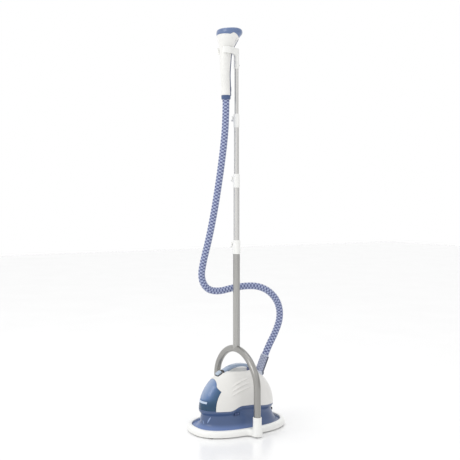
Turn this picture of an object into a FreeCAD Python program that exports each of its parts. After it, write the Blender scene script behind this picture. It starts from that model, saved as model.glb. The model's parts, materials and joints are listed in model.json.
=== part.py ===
import FreeCAD, Part
import math
import os

# Upright garment steamer: an oval ring stand, a domed water heater with a drop-in tank,
# a hoop that carries a four-stage telescopic pole, and a steam handset hung in a cradle.
# Millimetres.  +Z is up.  The origin is on the floor, under the pole, at the ring's centre.
# The tank faces -Y, the hose leaves towards +Y, and the hoop stands in the X-Z plane.

Vector = FreeCAD.Vector
X_AXIS = Vector(1, 0, 0)
Y_AXIS = Vector(0, 1, 0)
Z_AXIS = Vector(0, 0, 1)
ORIGIN = Vector(0, 0, 0)

# Fits
RUNNING = 0.08              # radial clearance of a part that slides or turns
SNUG = 0.03                 # radial clearance of a part that is fixed in its hole
GAP = 0.35                  # clearance between free-form parts that move apart

# Stand ring and tray
RING_HALF_X = 106.0         # inside half-width
RING_HALF_Y = 171.0         # inside half-length
RING_RIM = 16.0
RING_BOTTOM = 3.0
RING_TOP = 26.0
RING_POWER = 2.5            # squareness of the oval
LEDGE_TOP = 8.0             # the tray stands on this ledge inside the ring
LEDGE_WIDTH = 4.0
TRAY_TOP = 20.0
TRAY_WALL = 3.0
TRAY_SKIRT = 6.0
FOOT_RADIUS = 7.0
FOOT_ANGLES = (52, 128, 232, 308)

# Hoop
LEG_X = 143.0
HOOP_TUBE_R = 12.5
HOOP_WALL = 1.5
HOOP_LEG_BOTTOM = 14.0
HOOP_SHOULDER_Z = 168.0
HOOP_SHOULDER_R = 95.0
HOOP_APEX_Z = 288.0
SOCKET_WALL = 3.0
SOCKET_TOP = 70.0
LOBE_R = 19.0               # foot of each socket
FAIRING_R = 18.0            # hollow curve between the lobe and the ring
LEG_SCREW_R = 3.0
LEG_PLUG_LENGTH = 26.0

# Telescopic pole: stage 1 is the lowest
TUBE_R = (12.9, 11.25, 9.5, 7.75)
TUBE_WALL = 1.1
SLEEVE_BOTTOM = (639.0, 884.0, 1106.0)
SLEEVE_HEIGHT = 51.0
SLEEVE_GRIP = 29.0          # length of the lower tube held in each sleeve
SLEEVE_WALL = 1.7
TUBE_OVERLAP = 52.0         # length of each upper tube left in the tube below
BUSH_LENGTH = 12.0
BUSH_SPIGOT = 14.0
SPIGOT_LENGTH = 46.0
SPIGOT_STUD_R = 4.0

# Clamp levers
LEVER_AZIMUTH = 216.9       # side of the pole that the levers are on, degrees from +X
LEVER_PIVOT_Z = 26.0        # above the sleeve's lower end
LEVER_LENGTH = 17.0
LEVER_WIDTH = 11.0
LEVER_THICK = 3.6
LEVER_PIN_R = 1.5
EAR_WALL = 2.4

# Body: a half ovoid over a waisted lower housing
DOME_HALF_X = 85.0
DOME_HALF_Y = 152.0
DOME_HEIGHT = 142.0
DOME_BASE_Z = 80.0
DOME_WALL = 2.5
# Height of the joint between the two housings along the body, from front to rear
SEAM = ((-190, 82), (-150, 82.4), (-110, 82.8), (-80, 83), (-62, 84.5), (-48, 91), (-34, 97),
        (-10, 98.8), (20, 97), (56, 89.5), (95, 83.5), (140, 79), (190, 76))
SEAM_LEDGE = 3.0
HOUSING_WALL = 3.0
# Lower housing: height, half-width, half-length
HOUSING_SECTIONS = ((TRAY_TOP, 99, 164), (24, 96, 160), (32, 89, 153), (45, 83, 148), (57, 80, 143.5),
                    (70, 79, 143), (112, 79, 143))
DECK_REAR_Y = -10.0
DECK_Z = 81.0
DECK_WALL = 2.5
BOSS_X = 61.0
BOSS_Y = 86.0
BOSS_TOP = 62.0
BOSS_R = 5.5
SCREW_R = 1.8
SCREW_HEAD_R = 4.0

# Water tank: half outline across the body, and how far back it reaches
TANK_BOTTOM = 85.0
TANK_HALF_X = 53.5
TANK_SHOULDER_Z = 150.5
TANK_SHOULDER_X = 51.0
TANK_ARCH_R = 37.0
TANK_ARCH_Z = 151.0
TANK_SPRING = 25.0          # the arch starts this far above its centre, degrees
TANK_NECK_Y = -72.0         # the arched front ends here
TANK_BACK_Y = -36.0
TANK_BACK_HALF_X = 49.0
TANK_BACK_TOP = 146.0
TANK_WALL = 2.4
TANK_GAP = 0.6
CAP_Y = -54.0
CAP_R = 14.0
CAP_HEIGHT = 10.0
CAP_LIFT = 0.4              # the cap's skirt stays this far off the tank
CAP_FLUTES = 12
CAP_FLUTE_R = 1.2
FILLER_R = 10.0
FILLER_HEIGHT = 5.0
VALVE_Z = 102.0
VALVE_R = 7.0
VALVE_WALL = 1.6
VALVE_LENGTH = 14.0
PLUNGER_R = 2.0
PLUNGER_TRAVEL = 2.0

# Carrying handle over a finger scoop
HANDLE_WIDTH = 26.0
HANDLE_THICK = 11.0
HANDLE_END_THICK = 17.0
HANDLE_ARC = ((-62, 214), (12, 233), (80, 211))     # outer curve: front, crown, rear (Y, Z)
HANDLE_BAND_LENGTH = 3.0
HANDLE_SCREW_Y = (-55.3, 73.0)
HANDLE_SCREW_HEAD_R = 2.9
SCOOP_CENTRE = Vector(0, 5, 224)
SCOOP_HALF = (36.0, 60.0, 38.0)
BUTTON_Y = -75.0
BUTTON_TILT = 27.0          # slope of the dome under the release button
BUTTON_LENGTH = 21.0
BUTTON_WIDTH = 19.0
BUTTON_PROUD = 9.0
BUTTON_DEPTH = 3.0
POCKET_DEPTH = 8.0

# Hose outlet at the rear of the dome
OUTLET_BASE = Vector(0, 98, 190)
OUTLET_TILT = 24.5          # from vertical, towards the rear
CUFF_R = 15.5
CUFF_LENGTH = 68.0
GLAND_R = 18.5
GLAND_DEPTH = 6.0
HOSE_R = 13.0
# Route of the hose from the cuff to the handset
HOSE_ROUTE = ((0, 139.9, 281.9), (0, 172, 331), (1, 195, 386), (1, 189, 441), (-1, 155, 487),
              (-15, 107, 513), (-35, 57, 514), (-54, 8, 506), (-70, -40, 494), (-80, -83, 505),
              (-80, -107, 549), (-67, -103, 612), (-48, -88, 700), (-28, -70, 836), (-8, -53, 1010),
              (0, -45, 1130))
ARC_SHARE = 0.45

# Heater and plumbing
BOILER_Y = 48.0
BOILER_R = 42.0
BOILER_BOTTOM = 36.0
BOILER_HEIGHT = 46.0
BOILER_WALL = 5.0
LID_THICK = 5.0
LID_OVERHANG = 4.0
STEAM_PORT_DY = 12.0        # lid fittings, from the boiler's centre
WATER_PORT_DY = -26.0
PORT_WALL = 2.5
PORT_HEIGHT = 8.0
ELEMENT_R = 30.0
ELEMENT_TUBE_R = 3.5
POST_R = 5.0
PIPE_R = 5.0
PIPE_WALL = 1.4
WATER_HUMP = 16.0           # the water tube rises this far above the valve port

# Rocker switch and mains inlet
SWITCH_Y = -44.0
SWITCH_Z = 71.0
SWITCH_LENGTH = 20.0
SWITCH_HEIGHT = 10.0
SWITCH_TILT = 6.0
SWITCH_WALL = 1.5
SWITCH_DEPTH = 14.0
INLET_Z = 46.0
INLET_R = 7.5
INLET_BORE_R = 3.6
INLET_LENGTH = 16.0

# Cradle: its height drives the top of the pole and the handset
CRADLE_BOTTOM = 1374.0
CRADLE_HEIGHT = 24.0
CRADLE_TOP = CRADLE_BOTTOM + CRADLE_HEIGHT
CRADLE_R = 31.0
CRADLE_OPENING = 40.0       # half angle of the front opening
BRACKET_BOTTOM = CRADLE_BOTTOM - 51.0
BRACKET_WALL = 2.2
BRACKET_SCREW_Z = BRACKET_BOTTOM + 14.0
POLE_TOP = CRADLE_BOTTOM + CRADLE_HEIGHT / 2

# Handset: height above the cradle's lower edge, half-width, half-depth, centre line in Y
HANDSET_PROFILE = ((-152, 16.5, 16.5, -45), (-114, 16.8, 16.6, -46.5), (-74, 18, 17, -48.5),
                   (-34, 20, 19.5, -48.3), (-3, 21.5, 21.5, -47.3), (16, 24, 24.5, -45.3),
                   (30, 29.5, 29, -42.5), (42, 35.5, 33, -39.6), (55, 42, 37.5, -36.5),
                   (64, 47, 40.5, -34), (70, 51.5, 44, -32), (76, 54, 46, -30.7), (83, 53, 45, -30.3),
                   (88, 49.5, 41.5, -30.2), (91, 45, 37, -30.1), (96, 41.5, 33.5, -30))
HANDSET_SECTIONS = tuple((CRADLE_BOTTOM + z, half_x, half_y, centre_y)
                         for z, half_x, half_y, centre_y in HANDSET_PROFILE)
CRADLE_SECTION = HANDSET_SECTIONS[4]
NECK_SECTION = HANDSET_SECTIONS[0]
HANDSET_WALL = 2.2
# Joint between the white shells and the head cap: Y, height above the cradle's lower edge
HEAD_SPLIT = ((-120, 67), (-72, 67), (-52, 65.5), (-43.5, 71), (-32, 67.5), (-13, 59.5), (8, 57),
              (40, 52))
PLATE_TILT = 2.0            # the steam plate leans this far towards the front
PLATE_CENTRE = Vector(0, -30.5, CRADLE_BOTTOM + 90.5)
PLATE_HALF_X = 40.0
PLATE_HALF_Y = 30.0
PLATE_THICK = 3.0
PLATE_HOLE_R = 2.0
PLATE_HOLE_PITCH = 13.0
PLATE_HOLE_ROWS = ((-18, 3), (-6, 5), (6, 5), (18, 3))     # Y of the row, holes in it
PLATE_SKIRT = 26.0
SPINE_HALF_X = 11.0
SPINE_PROUD = 3.0
SPINE_SIDE_GAP = 0.05
COLLAR_HEIGHT = 15.0
COLLAR_BOTTOM = NECK_SECTION[0] - COLLAR_HEIGHT
COLLAR_R = 17.6
DUCT_R = 7.0
DUCT_WALL = 1.5
FUNNEL_BOTTOM = CRADLE_BOTTOM + 2.0
FUNNEL_TOP = CRADLE_BOTTOM + 74.0
STEAM_BUTTON_Z = CRADLE_BOTTOM - 128.0
STEAM_BUTTON_HALF_X = 4.5
STEAM_BUTTON_HALF_Z = 8.0
STEAM_BUTTON_PROUD = 5.2
STEAM_BUTTON_FLANGE = 1.5

FAR = 400.0                 # reach of a cutting block that has no size of its own

parts = {}


# ---------------------------------------------------------------- helpers

def cylinder(radius, z0, z1, x=0.0, y=0.0):
    return Part.makeCylinder(radius, z1 - z0, Vector(x, y, z0))


def tube(radius, wall, z0, z1, x=0.0, y=0.0):
    return cylinder(radius, z0, z1, x, y).cut(cylinder(radius - wall, z0 - 1, z1 + 1, x, y))


def rod(radius, start, direction, length):
    return Part.makeCylinder(radius, length, start, direction)


def block(x0, x1, y0, y1, z0, z1):
    return Part.makeBox(x1 - x0, y1 - y0, z1 - z0, Vector(x0, y0, z0))


def oval_wire(half_x, half_y, z, power=2.0, centre_y=0.0, count=32):
    points = []
    for i in range(count):
        turn = 2 * math.pi * i / count
        across = math.copysign(abs(math.cos(turn)) ** (2 / power), math.cos(turn))
        along = math.copysign(abs(math.sin(turn)) ** (2 / power), math.sin(turn))
        points.append(Vector(half_x * across, centre_y + half_y * along, z))
    curve = Part.BSplineCurve()
    curve.interpolate(points, PeriodicFlag=True)
    return Part.Wire(curve.toShape())


def oval_prism(half_x, half_y, z0, z1, power=2.0):
    face = Part.Face(oval_wire(half_x, half_y, z0, power))
    return face.extrude(Vector(0, 0, z1 - z0))


def oval_loft(sections, grow=0.0, power=2.0):
    """Solid through ovals given as (z, half_x, half_y) or (z, half_x, half_y, centre_y)."""
    wires = []
    for section in sections:
        centre_y = section[3] if len(section) > 3 else 0.0
        wires.append(oval_wire(section[1] + grow, section[2] + grow, section[0], power, centre_y))
    return Part.makeLoft(wires, True, True)


def ovoid(half_x, half_y, half_z, centre):
    ball = Part.makeSphere(100.0)
    matrix = FreeCAD.Matrix()
    matrix.scale(half_x / 100.0, half_y / 100.0, half_z / 100.0)
    shape = ball.transformGeometry(matrix)
    shape.translate(centre)
    return shape


def side_prism(edges_or_points, half_x):
    """Closed outline in the Y-Z plane, extruded to both sides of X = 0."""
    if isinstance(edges_or_points[0], tuple):
        corners = [Vector(-half_x, y, z) for y, z in edges_or_points]
        wire = Part.makePolygon(corners + corners[:1])
    else:
        wire = Part.Wire(edges_or_points)
    return Part.Face(wire).extrude(Vector(2 * half_x, 0, 0))


def arc_edge(a, b, c):
    return Part.Arc(a, b, c).toShape()


def line_edge(a, b):
    return Part.LineSegment(a, b).toShape()


def tilted(shape, degrees, centre):
    """Turn a shape about X; positive degrees lean +Z towards -Y."""
    shape.rotate(centre, X_AXIS, degrees)
    return shape


def bent_path(points, share=ARC_SHARE):
    """Straight runs joined by tangent arcs, and the arcs' radii and the path's length."""
    edges = []
    radii = []
    start = points[0]
    for before, corner, after in zip(points, points[1:], points[2:]):
        into = corner - before
        out = after - corner
        reach = share * min(into.Length, out.Length)
        half_turn = into.getAngle(out) / 2
        radius = reach / math.tan(half_turn)
        radii.append(radius)
        into.normalize()
        out.normalize()
        first = corner - into * reach
        last = corner + out * reach
        bisector = out - into
        bisector.normalize()
        middle = corner + bisector * (radius / math.cos(half_turn) - radius)
        edges.append(line_edge(start, first))
        edges.append(arc_edge(first, middle, last))
        start = last
    edges.append(line_edge(start, points[-1]))
    return Part.Wire(edges), radii


def swept(wire, radius):
    start = wire.OrderedVertexes[0].Point
    direction = wire.OrderedEdges[0].tangentAt(wire.OrderedEdges[0].FirstParameter)
    ring = Part.Wire(Part.Circle(start, direction, radius).toShape())
    return wire.makePipeShell([ring], True, True)


def group(solids):
    return Part.makeCompound(solids)


# ---------------------------------------------------------------- stand

def oval_point(half_x, half_y, degrees):
    turn = math.radians(degrees)
    across = math.copysign(abs(math.cos(turn)) ** (2 / RING_POWER), math.cos(turn))
    along = math.copysign(abs(math.sin(turn)) ** (2 / RING_POWER), math.sin(turn))
    return half_x * across, half_y * along


def leg_lobe(side):
    """Foot of one hoop socket, faired into the ring's outside by two hollow arcs."""
    edge_x = RING_HALF_X + RING_RIM - 0.8
    fairing_x = edge_x + FAIRING_R
    fairing_y = math.sqrt((LOBE_R + FAIRING_R) ** 2 - (fairing_x - LEG_X) ** 2)
    share = LOBE_R / (LOBE_R + FAIRING_R)
    touch_x = LEG_X + (fairing_x - LEG_X) * share
    touch_y = fairing_y * share
    across = Vector(LEG_X - fairing_x, -fairing_y, 0)
    across.normalize()
    across = across + Vector(-1, 0, 0)
    across.normalize()
    root_x = RING_HALF_X + RING_RIM / 2

    def at(x, y):
        return Vector(side * x, y, RING_BOTTOM)

    hollow = Vector(fairing_x, fairing_y, 0) + across * FAIRING_R
    edges = [line_edge(at(root_x, -fairing_y), at(edge_x, -fairing_y)),
             arc_edge(at(edge_x, -fairing_y), at(hollow.x, -hollow.y), at(touch_x, -touch_y)),
             arc_edge(at(touch_x, -touch_y), at(LEG_X + LOBE_R, 0), at(touch_x, touch_y)),
             arc_edge(at(touch_x, touch_y), at(hollow.x, hollow.y), at(edge_x, fairing_y)),
             line_edge(at(edge_x, fairing_y), at(root_x, fairing_y)),
             line_edge(at(root_x, fairing_y), at(root_x, -fairing_y))]
    return Part.Face(Part.Wire(edges)).extrude(Vector(0, 0, RING_TOP - 3 - RING_BOTTOM))


def make_stand():
    outer_x = RING_HALF_X + RING_RIM
    outer_y = RING_HALF_Y + RING_RIM
    levels = ((RING_BOTTOM, -2.0), (RING_BOTTOM + 4, 0.0), (RING_TOP - 9, 0.0),
              (RING_TOP - 3, -2.0), (RING_TOP, -6.0))
    wires = [oval_wire(outer_x + grow, outer_y + grow, z, RING_POWER) for z, grow in levels]
    ring = Part.makeLoft(wires, True, True)
    for side in (-1, 1):
        x = side * LEG_X
        ring = ring.fuse(leg_lobe(side))
        ring = ring.fuse(cylinder(HOOP_TUBE_R + SOCKET_WALL, RING_BOTTOM, SOCKET_TOP, x))
        bore = cylinder(HOOP_TUBE_R + SNUG, HOOP_LEG_BOTTOM, SOCKET_TOP + 1, x)
        screw_way = cylinder(LEG_SCREW_R + SNUG, RING_BOTTOM - 1, HOOP_LEG_BOTTOM + 1, x)
        head_way = cylinder(2 * LEG_SCREW_R + SNUG, RING_BOTTOM - 1, RING_BOTTOM + 4, x)
        ring = ring.cut(bore.fuse([screw_way, head_way]))
    ring = ring.cut(oval_prism(RING_HALF_X, RING_HALF_Y, LEDGE_TOP, RING_TOP + 1, RING_POWER))
    ring = ring.cut(oval_prism(RING_HALF_X - LEDGE_WIDTH, RING_HALF_Y - LEDGE_WIDTH,
                               RING_BOTTOM - 1, RING_TOP, RING_POWER))
    parts["base_ring"] = ring

    feet = []
    for degrees in FOOT_ANGLES:
        x, y = oval_point(RING_HALF_X + RING_RIM / 2 - 1, RING_HALF_Y + RING_RIM / 2 - 1, degrees)
        feet.append(cylinder(FOOT_RADIUS, 0, RING_BOTTOM, x, y))
    for side in (-1, 1):
        feet.append(cylinder(1.5 * FOOT_RADIUS, 0, RING_BOTTOM, side * LEG_X))
    parts["rubber_feet"] = group(feet)

    plugs = []
    screws = []
    for side in (-1, 1):
        x = side * LEG_X
        top = HOOP_LEG_BOTTOM + LEG_PLUG_LENGTH
        plug = cylinder(HOOP_TUBE_R - HOOP_WALL - SNUG, HOOP_LEG_BOTTOM, top, x)
        plugs.append(plug.cut(cylinder(LEG_SCREW_R + SNUG, HOOP_LEG_BOTTOM - 1, top - 4, x)))
        head = cylinder(2 * LEG_SCREW_R, RING_BOTTOM + 0.5, RING_BOTTOM + 4, x)
        screws.append(head.fuse(cylinder(LEG_SCREW_R, RING_BOTTOM + 1, top - 6, x)))
    parts["hoop_plugs"] = group(plugs)
    parts["hoop_screws"] = group(screws)


def make_tray():
    side_gap = 0.2
    half_x = RING_HALF_X - side_gap
    half_y = RING_HALF_Y - side_gap
    tray = oval_prism(half_x, half_y, LEDGE_TOP, TRAY_TOP, RING_POWER)
    hollow = oval_prism(half_x - TRAY_SKIRT, half_y - TRAY_SKIRT, LEDGE_TOP - 1,
                        TRAY_TOP - TRAY_WALL, RING_POWER)
    tray = tray.cut(hollow)
    for degrees in (90, 210, 330):
        turn = math.radians(degrees)
        x = (BOILER_R - POST_R) * math.cos(turn)
        y = BOILER_Y + (BOILER_R - POST_R) * math.sin(turn)
        tray = tray.fuse(cylinder(POST_R, TRAY_TOP - 1, BOILER_BOTTOM, x, y))
    screws = []
    for x in (-BOSS_X, BOSS_X):
        for y in (-BOSS_Y, BOSS_Y):
            tray = tray.cut(cylinder(SCREW_R + SNUG, TRAY_TOP - TRAY_WALL - 1, TRAY_TOP + 1, x, y))
            under = TRAY_TOP - TRAY_WALL
            head = cylinder(SCREW_HEAD_R, under - 3, under, x, y)
            screws.append(head.fuse(cylinder(SCREW_R, under - 1, TRAY_TOP + 18, x, y)))
    parts["base_tray"] = tray
    parts["base_screws"] = group(screws)


# ---------------------------------------------------------------- body

def seam_prism(rise, above):
    """Everything above (or below) the joint between the two housings, raised by rise."""
    half_x = FAR / 2
    curve = Part.BSplineCurve()
    curve.interpolate([Vector(-half_x, y, z + rise) for y, z in SEAM])
    far = FAR if above else -FAR
    first = Vector(-half_x, SEAM[0][0], SEAM[0][1] + rise)
    last = Vector(-half_x, SEAM[-1][0], SEAM[-1][1] + rise)
    edges = [curve.toShape(), line_edge(last, Vector(-half_x, last.y, far)),
             line_edge(Vector(-half_x, last.y, far), Vector(-half_x, first.y, far)),
             line_edge(Vector(-half_x, first.y, far), first)]
    return Part.Face(Part.Wire(edges)).extrude(Vector(2 * half_x, 0, 0))


def tank_outline(grow, y0, y1):
    """The tank's shape seen from the front: upright sides, sloping shoulders and an arch."""
    arch_r = TANK_ARCH_R + grow
    half = TANK_HALF_X + grow
    shoulder_x = TANK_SHOULDER_X + grow
    shoulder_z = TANK_SHOULDER_Z + grow
    spring = math.radians(TANK_SPRING)
    arch_x = arch_r * math.cos(spring)
    arch_z = TANK_ARCH_Z + arch_r * math.sin(spring)
    bottom = TANK_BOTTOM - grow

    def at(x, z):
        return Vector(x, y0, z)

    edges = [line_edge(at(-half, bottom), at(half, bottom)),
             line_edge(at(half, bottom), at(shoulder_x, shoulder_z)),
             line_edge(at(shoulder_x, shoulder_z), at(arch_x, arch_z)),
             arc_edge(at(arch_x, arch_z), at(0, TANK_ARCH_Z + arch_r), at(-arch_x, arch_z)),
             line_edge(at(-arch_x, arch_z), at(-shoulder_x, shoulder_z)),
             line_edge(at(-shoulder_x, shoulder_z), at(-half, bottom))]
    return Part.Face(Part.Wire(edges)).extrude(Vector(0, y1 - y0, 0))


def dome(shrink=0.0):
    return ovoid(DOME_HALF_X - shrink, DOME_HALF_Y - shrink, DOME_HEIGHT - shrink,
                 Vector(0, 0, DOME_BASE_Z))


def outlet_axis():
    lean = math.radians(OUTLET_TILT)
    return Vector(0, math.sin(lean), math.cos(lean))


def button_block(length, width, low, high):
    """Rounded block on the dome's front slope, from low to high along the slope's normal."""
    slope_z = dome_height(BUTTON_Y)
    corner = 5.0
    shape = block(-width / 2, width / 2, BUTTON_Y - length / 2, BUTTON_Y + length / 2,
                  slope_z + low, slope_z + high)
    upright = [edge for edge in shape.Edges
               if abs(edge.Vertexes[0].Z - edge.Vertexes[1].Z) > 0.5]
    shape = shape.makeFillet(corner, upright)
    return tilted(shape, BUTTON_TILT, Vector(0, BUTTON_Y, slope_z))


def dome_height(y):
    return DOME_BASE_Z + DOME_HEIGHT * math.sqrt(1 - (y / DOME_HALF_Y) ** 2)


def make_lower_housing():
    shell = oval_loft(HOUSING_SECTIONS)
    hollow = oval_loft(HOUSING_SECTIONS, -HOUSING_WALL)
    # Open the underside fully and keep the front deck that the tank stands on
    deck = hollow.common(block(-150, 150, -200, DECK_REAR_Y, DECK_Z - DECK_WALL, DECK_Z))
    housing = shell.cut(hollow).fuse(deck)
    for x in (-BOSS_X, BOSS_X):
        for y in (-BOSS_Y, BOSS_Y):
            boss = cylinder(BOSS_R, TRAY_TOP, BOSS_TOP, x, y)
            housing = housing.fuse(boss.common(shell))
            housing = housing.cut(cylinder(SCREW_R + SNUG, TRAY_TOP - 1, TRAY_TOP + 20, x, y))
    housing = housing.common(seam_prism(0.0, False))
    housing = housing.cut(switch_block(SNUG))
    inlet_hole = rod(INLET_R + SNUG, Vector(0, 100, INLET_Z), Y_AXIS, 100)
    housing = housing.cut(inlet_hole)
    parts["lower_housing"] = housing


def make_upper_housing():
    outside = dome()
    inside_rim = oval_loft(HOUSING_SECTIONS, -HOUSING_WALL)
    above = seam_prism(0.0, True)
    shell = outside.cut(dome(DOME_WALL)).common(above)
    ledge = outside.common(above).common(seam_prism(SEAM_LEDGE, False)).cut(inside_rim)
    shell = shell.fuse(ledge)
    scoop_liner = ovoid(SCOOP_HALF[0] + DOME_WALL, SCOOP_HALF[1] + DOME_WALL,
                        SCOOP_HALF[2] + DOME_WALL, SCOOP_CENTRE).common(outside)
    pocket_liner = button_block(BUTTON_LENGTH + 4, BUTTON_WIDTH + 4, -POCKET_DEPTH - DOME_WALL, 4)
    shell = shell.fuse(scoop_liner).fuse(pocket_liner.common(outside))
    shell = shell.cut(ovoid(SCOOP_HALF[0], SCOOP_HALF[1], SCOOP_HALF[2], SCOOP_CENTRE))
    shell = shell.cut(button_block(BUTTON_LENGTH + GAP, BUTTON_WIDTH + GAP, -POCKET_DEPTH, 20))
    shell = shell.cut(tank_outline(TANK_GAP, -200, TANK_NECK_Y + TANK_GAP))
    shell = shell.cut(block(-TANK_BACK_HALF_X - TANK_GAP, TANK_BACK_HALF_X + TANK_GAP,
                            TANK_NECK_Y, TANK_BACK_Y + TANK_GAP, 60, 165))
    axis = outlet_axis()
    shell = shell.cut(rod(HOSE_R + 0.6, OUTLET_BASE - axis * 40, axis, 80))
    for y in HANDLE_SCREW_Y:
        shell = shell.cut(cylinder(SCREW_R + SNUG, dome_height(y) - 30, dome_height(y) + 5, 0, y))
    parts["upper_housing"] = shell


def handle_bar(front_y, rear_y):
    (y0, z0), (y1, z1), (y2, z2) = HANDLE_ARC
    half = HANDLE_WIDTH / 2

    def at(y, z):
        return Vector(-half, y, z)

    deep = HANDLE_END_THICK
    edges = [arc_edge(at(y0, z0), at(y1, z1), at(y2, z2)),
             line_edge(at(y2, z2), at(y2, z2 - deep)),
             arc_edge(at(y2, z2 - deep), at(y1, z1 - HANDLE_THICK), at(y0, z0 - deep)),
             line_edge(at(y0, z0 - deep), at(y0, z0))]
    bar = Part.Face(Part.Wire(edges)).extrude(Vector(2 * half, 0, 0))
    long_edges = [edge for edge in bar.Edges if edge.Curve.TypeId == "Part::GeomCircle"]
    bar = bar.makeFillet(0.38 * HANDLE_THICK, long_edges)
    return bar.common(block(-half - 1, half + 1, front_y, rear_y, 150, 260))


def make_handle():
    solid_dome = dome().cut(ovoid(SCOOP_HALF[0], SCOOP_HALF[1], SCOOP_HALF[2], SCOOP_CENTRE))
    front = HANDLE_ARC[0][0]
    rear = HANDLE_ARC[2][0]
    bar = handle_bar(front + HANDLE_BAND_LENGTH, rear).cut(solid_dome)
    band = handle_bar(front, front + HANDLE_BAND_LENGTH).cut(solid_dome)
    screws = []
    for y in HANDLE_SCREW_Y:
        top = dome_height(y) + 4
        bar = bar.cut(cylinder(SCREW_R + SNUG, top - 30, top, 0, y))
        under = dome_height(y) - 8
        head = cylinder(HANDLE_SCREW_HEAD_R, under - 3, under, 0, y)
        screws.append(head.fuse(cylinder(SCREW_R, under - 1, top - 0.5, 0, y)))
    parts["carry_handle"] = largest(bar)
    parts["handle_band"] = largest(band)
    parts["handle_screws"] = group(screws)
    # Screw pillars under the dome, which the handle's screws are driven through
    pillars = []
    for y in HANDLE_SCREW_Y:
        pillar = cylinder(HANDLE_SCREW_HEAD_R + 1.5, dome_height(y) - 8, dome_height(y) + 1, 0, y)
        pillar = pillar.common(dome(DOME_WALL / 2))
        pillar = pillar.cut(cylinder(SCREW_R + SNUG, 100, 300, 0, y))
        pillars.append(pillar.cut(ovoid(*SCOOP_HALF, SCOOP_CENTRE)))
    parts["upper_housing"] = parts["upper_housing"].fuse(pillars)


def largest(shape):
    return max(shape.Solids, key=lambda solid: solid.Volume)


def make_release_button():
    slope_z = dome_height(BUTTON_Y)
    button = button_block(BUTTON_LENGTH, BUTTON_WIDTH, -BUTTON_DEPTH, BUTTON_PROUD)
    centre = Vector(0, BUTTON_Y, slope_z)
    normal = Vector(0, -math.sin(math.radians(BUTTON_TILT)), math.cos(math.radians(BUTTON_TILT)))
    top = [edge for edge in button.Edges
           if all((v.Point - centre).dot(normal) > BUTTON_PROUD - 0.1 for v in edge.Vertexes)]
    button = button.makeFillet(3.0, top)
    parts["release_button"] = button
    spring = Part.makeHelix(1.5, POCKET_DEPTH - BUTTON_DEPTH - 1.2, 4.0)
    spring.translate(Vector(0, BUTTON_Y, slope_z - POCKET_DEPTH + 0.6))
    tilted(spring, BUTTON_TILT, centre)
    parts["release_spring"] = swept(spring, 0.5)


def switch_block(grow):
    half_y = SWITCH_LENGTH / 2 + SWITCH_WALL + grow
    half_z = SWITCH_HEIGHT / 2 + SWITCH_WALL + grow
    face_x = switch_face_x()
    return block(face_x - SWITCH_DEPTH - grow, face_x + 8, SWITCH_Y - half_y, SWITCH_Y + half_y,
                 SWITCH_Z - half_z, SWITCH_Z + half_z)


def switch_face_x():
    half_x = HOUSING_SECTIONS[-1][1]
    half_y = HOUSING_SECTIONS[-1][2]
    return half_x * math.sqrt(1 - (SWITCH_Y / half_y) ** 2)


def make_switch():
    face_x = switch_face_x()
    half_y = SWITCH_LENGTH / 2
    half_z = SWITCH_HEIGHT / 2
    pivot_x = face_x - 3.0
    bezel = switch_block(0.0).common(block(0, face_x + 1.2, -200, 200, 0, 200))
    cavity = block(face_x - 10, face_x + 20, SWITCH_Y - half_y, SWITCH_Y + half_y,
                   SWITCH_Z - half_z, SWITCH_Z + half_z)
    bezel = bezel.cut(cavity)
    pin = cylinder(1.0, SWITCH_Z - half_z - 1, SWITCH_Z + half_z + 1, pivot_x, SWITCH_Y)
    parts["switch_body"] = bezel.fuse(pin)
    rocker = block(pivot_x - 2.5, face_x + 2.2, SWITCH_Y - half_y + 0.6, SWITCH_Y + half_y - 0.6,
                   SWITCH_Z - half_z + 0.4, SWITCH_Z + half_z - 0.4)
    upright = [edge for edge in rocker.Edges
               if abs(edge.Vertexes[0].Z - edge.Vertexes[1].Z) > 1]
    rocker = rocker.makeFillet(1.2, upright)
    rocker.rotate(Vector(pivot_x, SWITCH_Y, 0), Z_AXIS, SWITCH_TILT)
    rocker = rocker.cut(cylinder(1.0 + RUNNING, 0, 200, pivot_x, SWITCH_Y))
    parts["power_switch"] = rocker


def housing_half_y(z):
    """Half-length of the lower housing at a height, between the two nearest sections."""
    for lower, upper in zip(HOUSING_SECTIONS, HOUSING_SECTIONS[1:]):
        if lower[0] <= z <= upper[0]:
            share = (z - lower[0]) / (upper[0] - lower[0])
            return lower[2] + share * (upper[2] - lower[2])
    raise ValueError("the lower housing has no section at this height")


def make_inlet():
    half_y = housing_half_y(INLET_Z)
    start = Vector(0, half_y - 10, INLET_Z)
    body = rod(INLET_R, start, Y_AXIS, 10)
    flange = rod(INLET_R + 2, Vector(0, half_y + 0.5, INLET_Z), Y_AXIS, 2.5)
    taper = Part.makeCone(INLET_R, INLET_BORE_R + 1.6, INLET_LENGTH,
                          Vector(0, half_y + 2, INLET_Z), Y_AXIS)
    bore = rod(INLET_BORE_R, start - Y_AXIS, Y_AXIS, 60)
    outside = flange.fuse(taper).cut(oval_loft(HOUSING_SECTIONS))
    neck = rod(INLET_R, Vector(0, half_y - 1, INLET_Z), Y_AXIS, 3)
    parts["cord_inlet"] = body.fuse([outside, neck]).cut(bore)


# ---------------------------------------------------------------- tank

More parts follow.
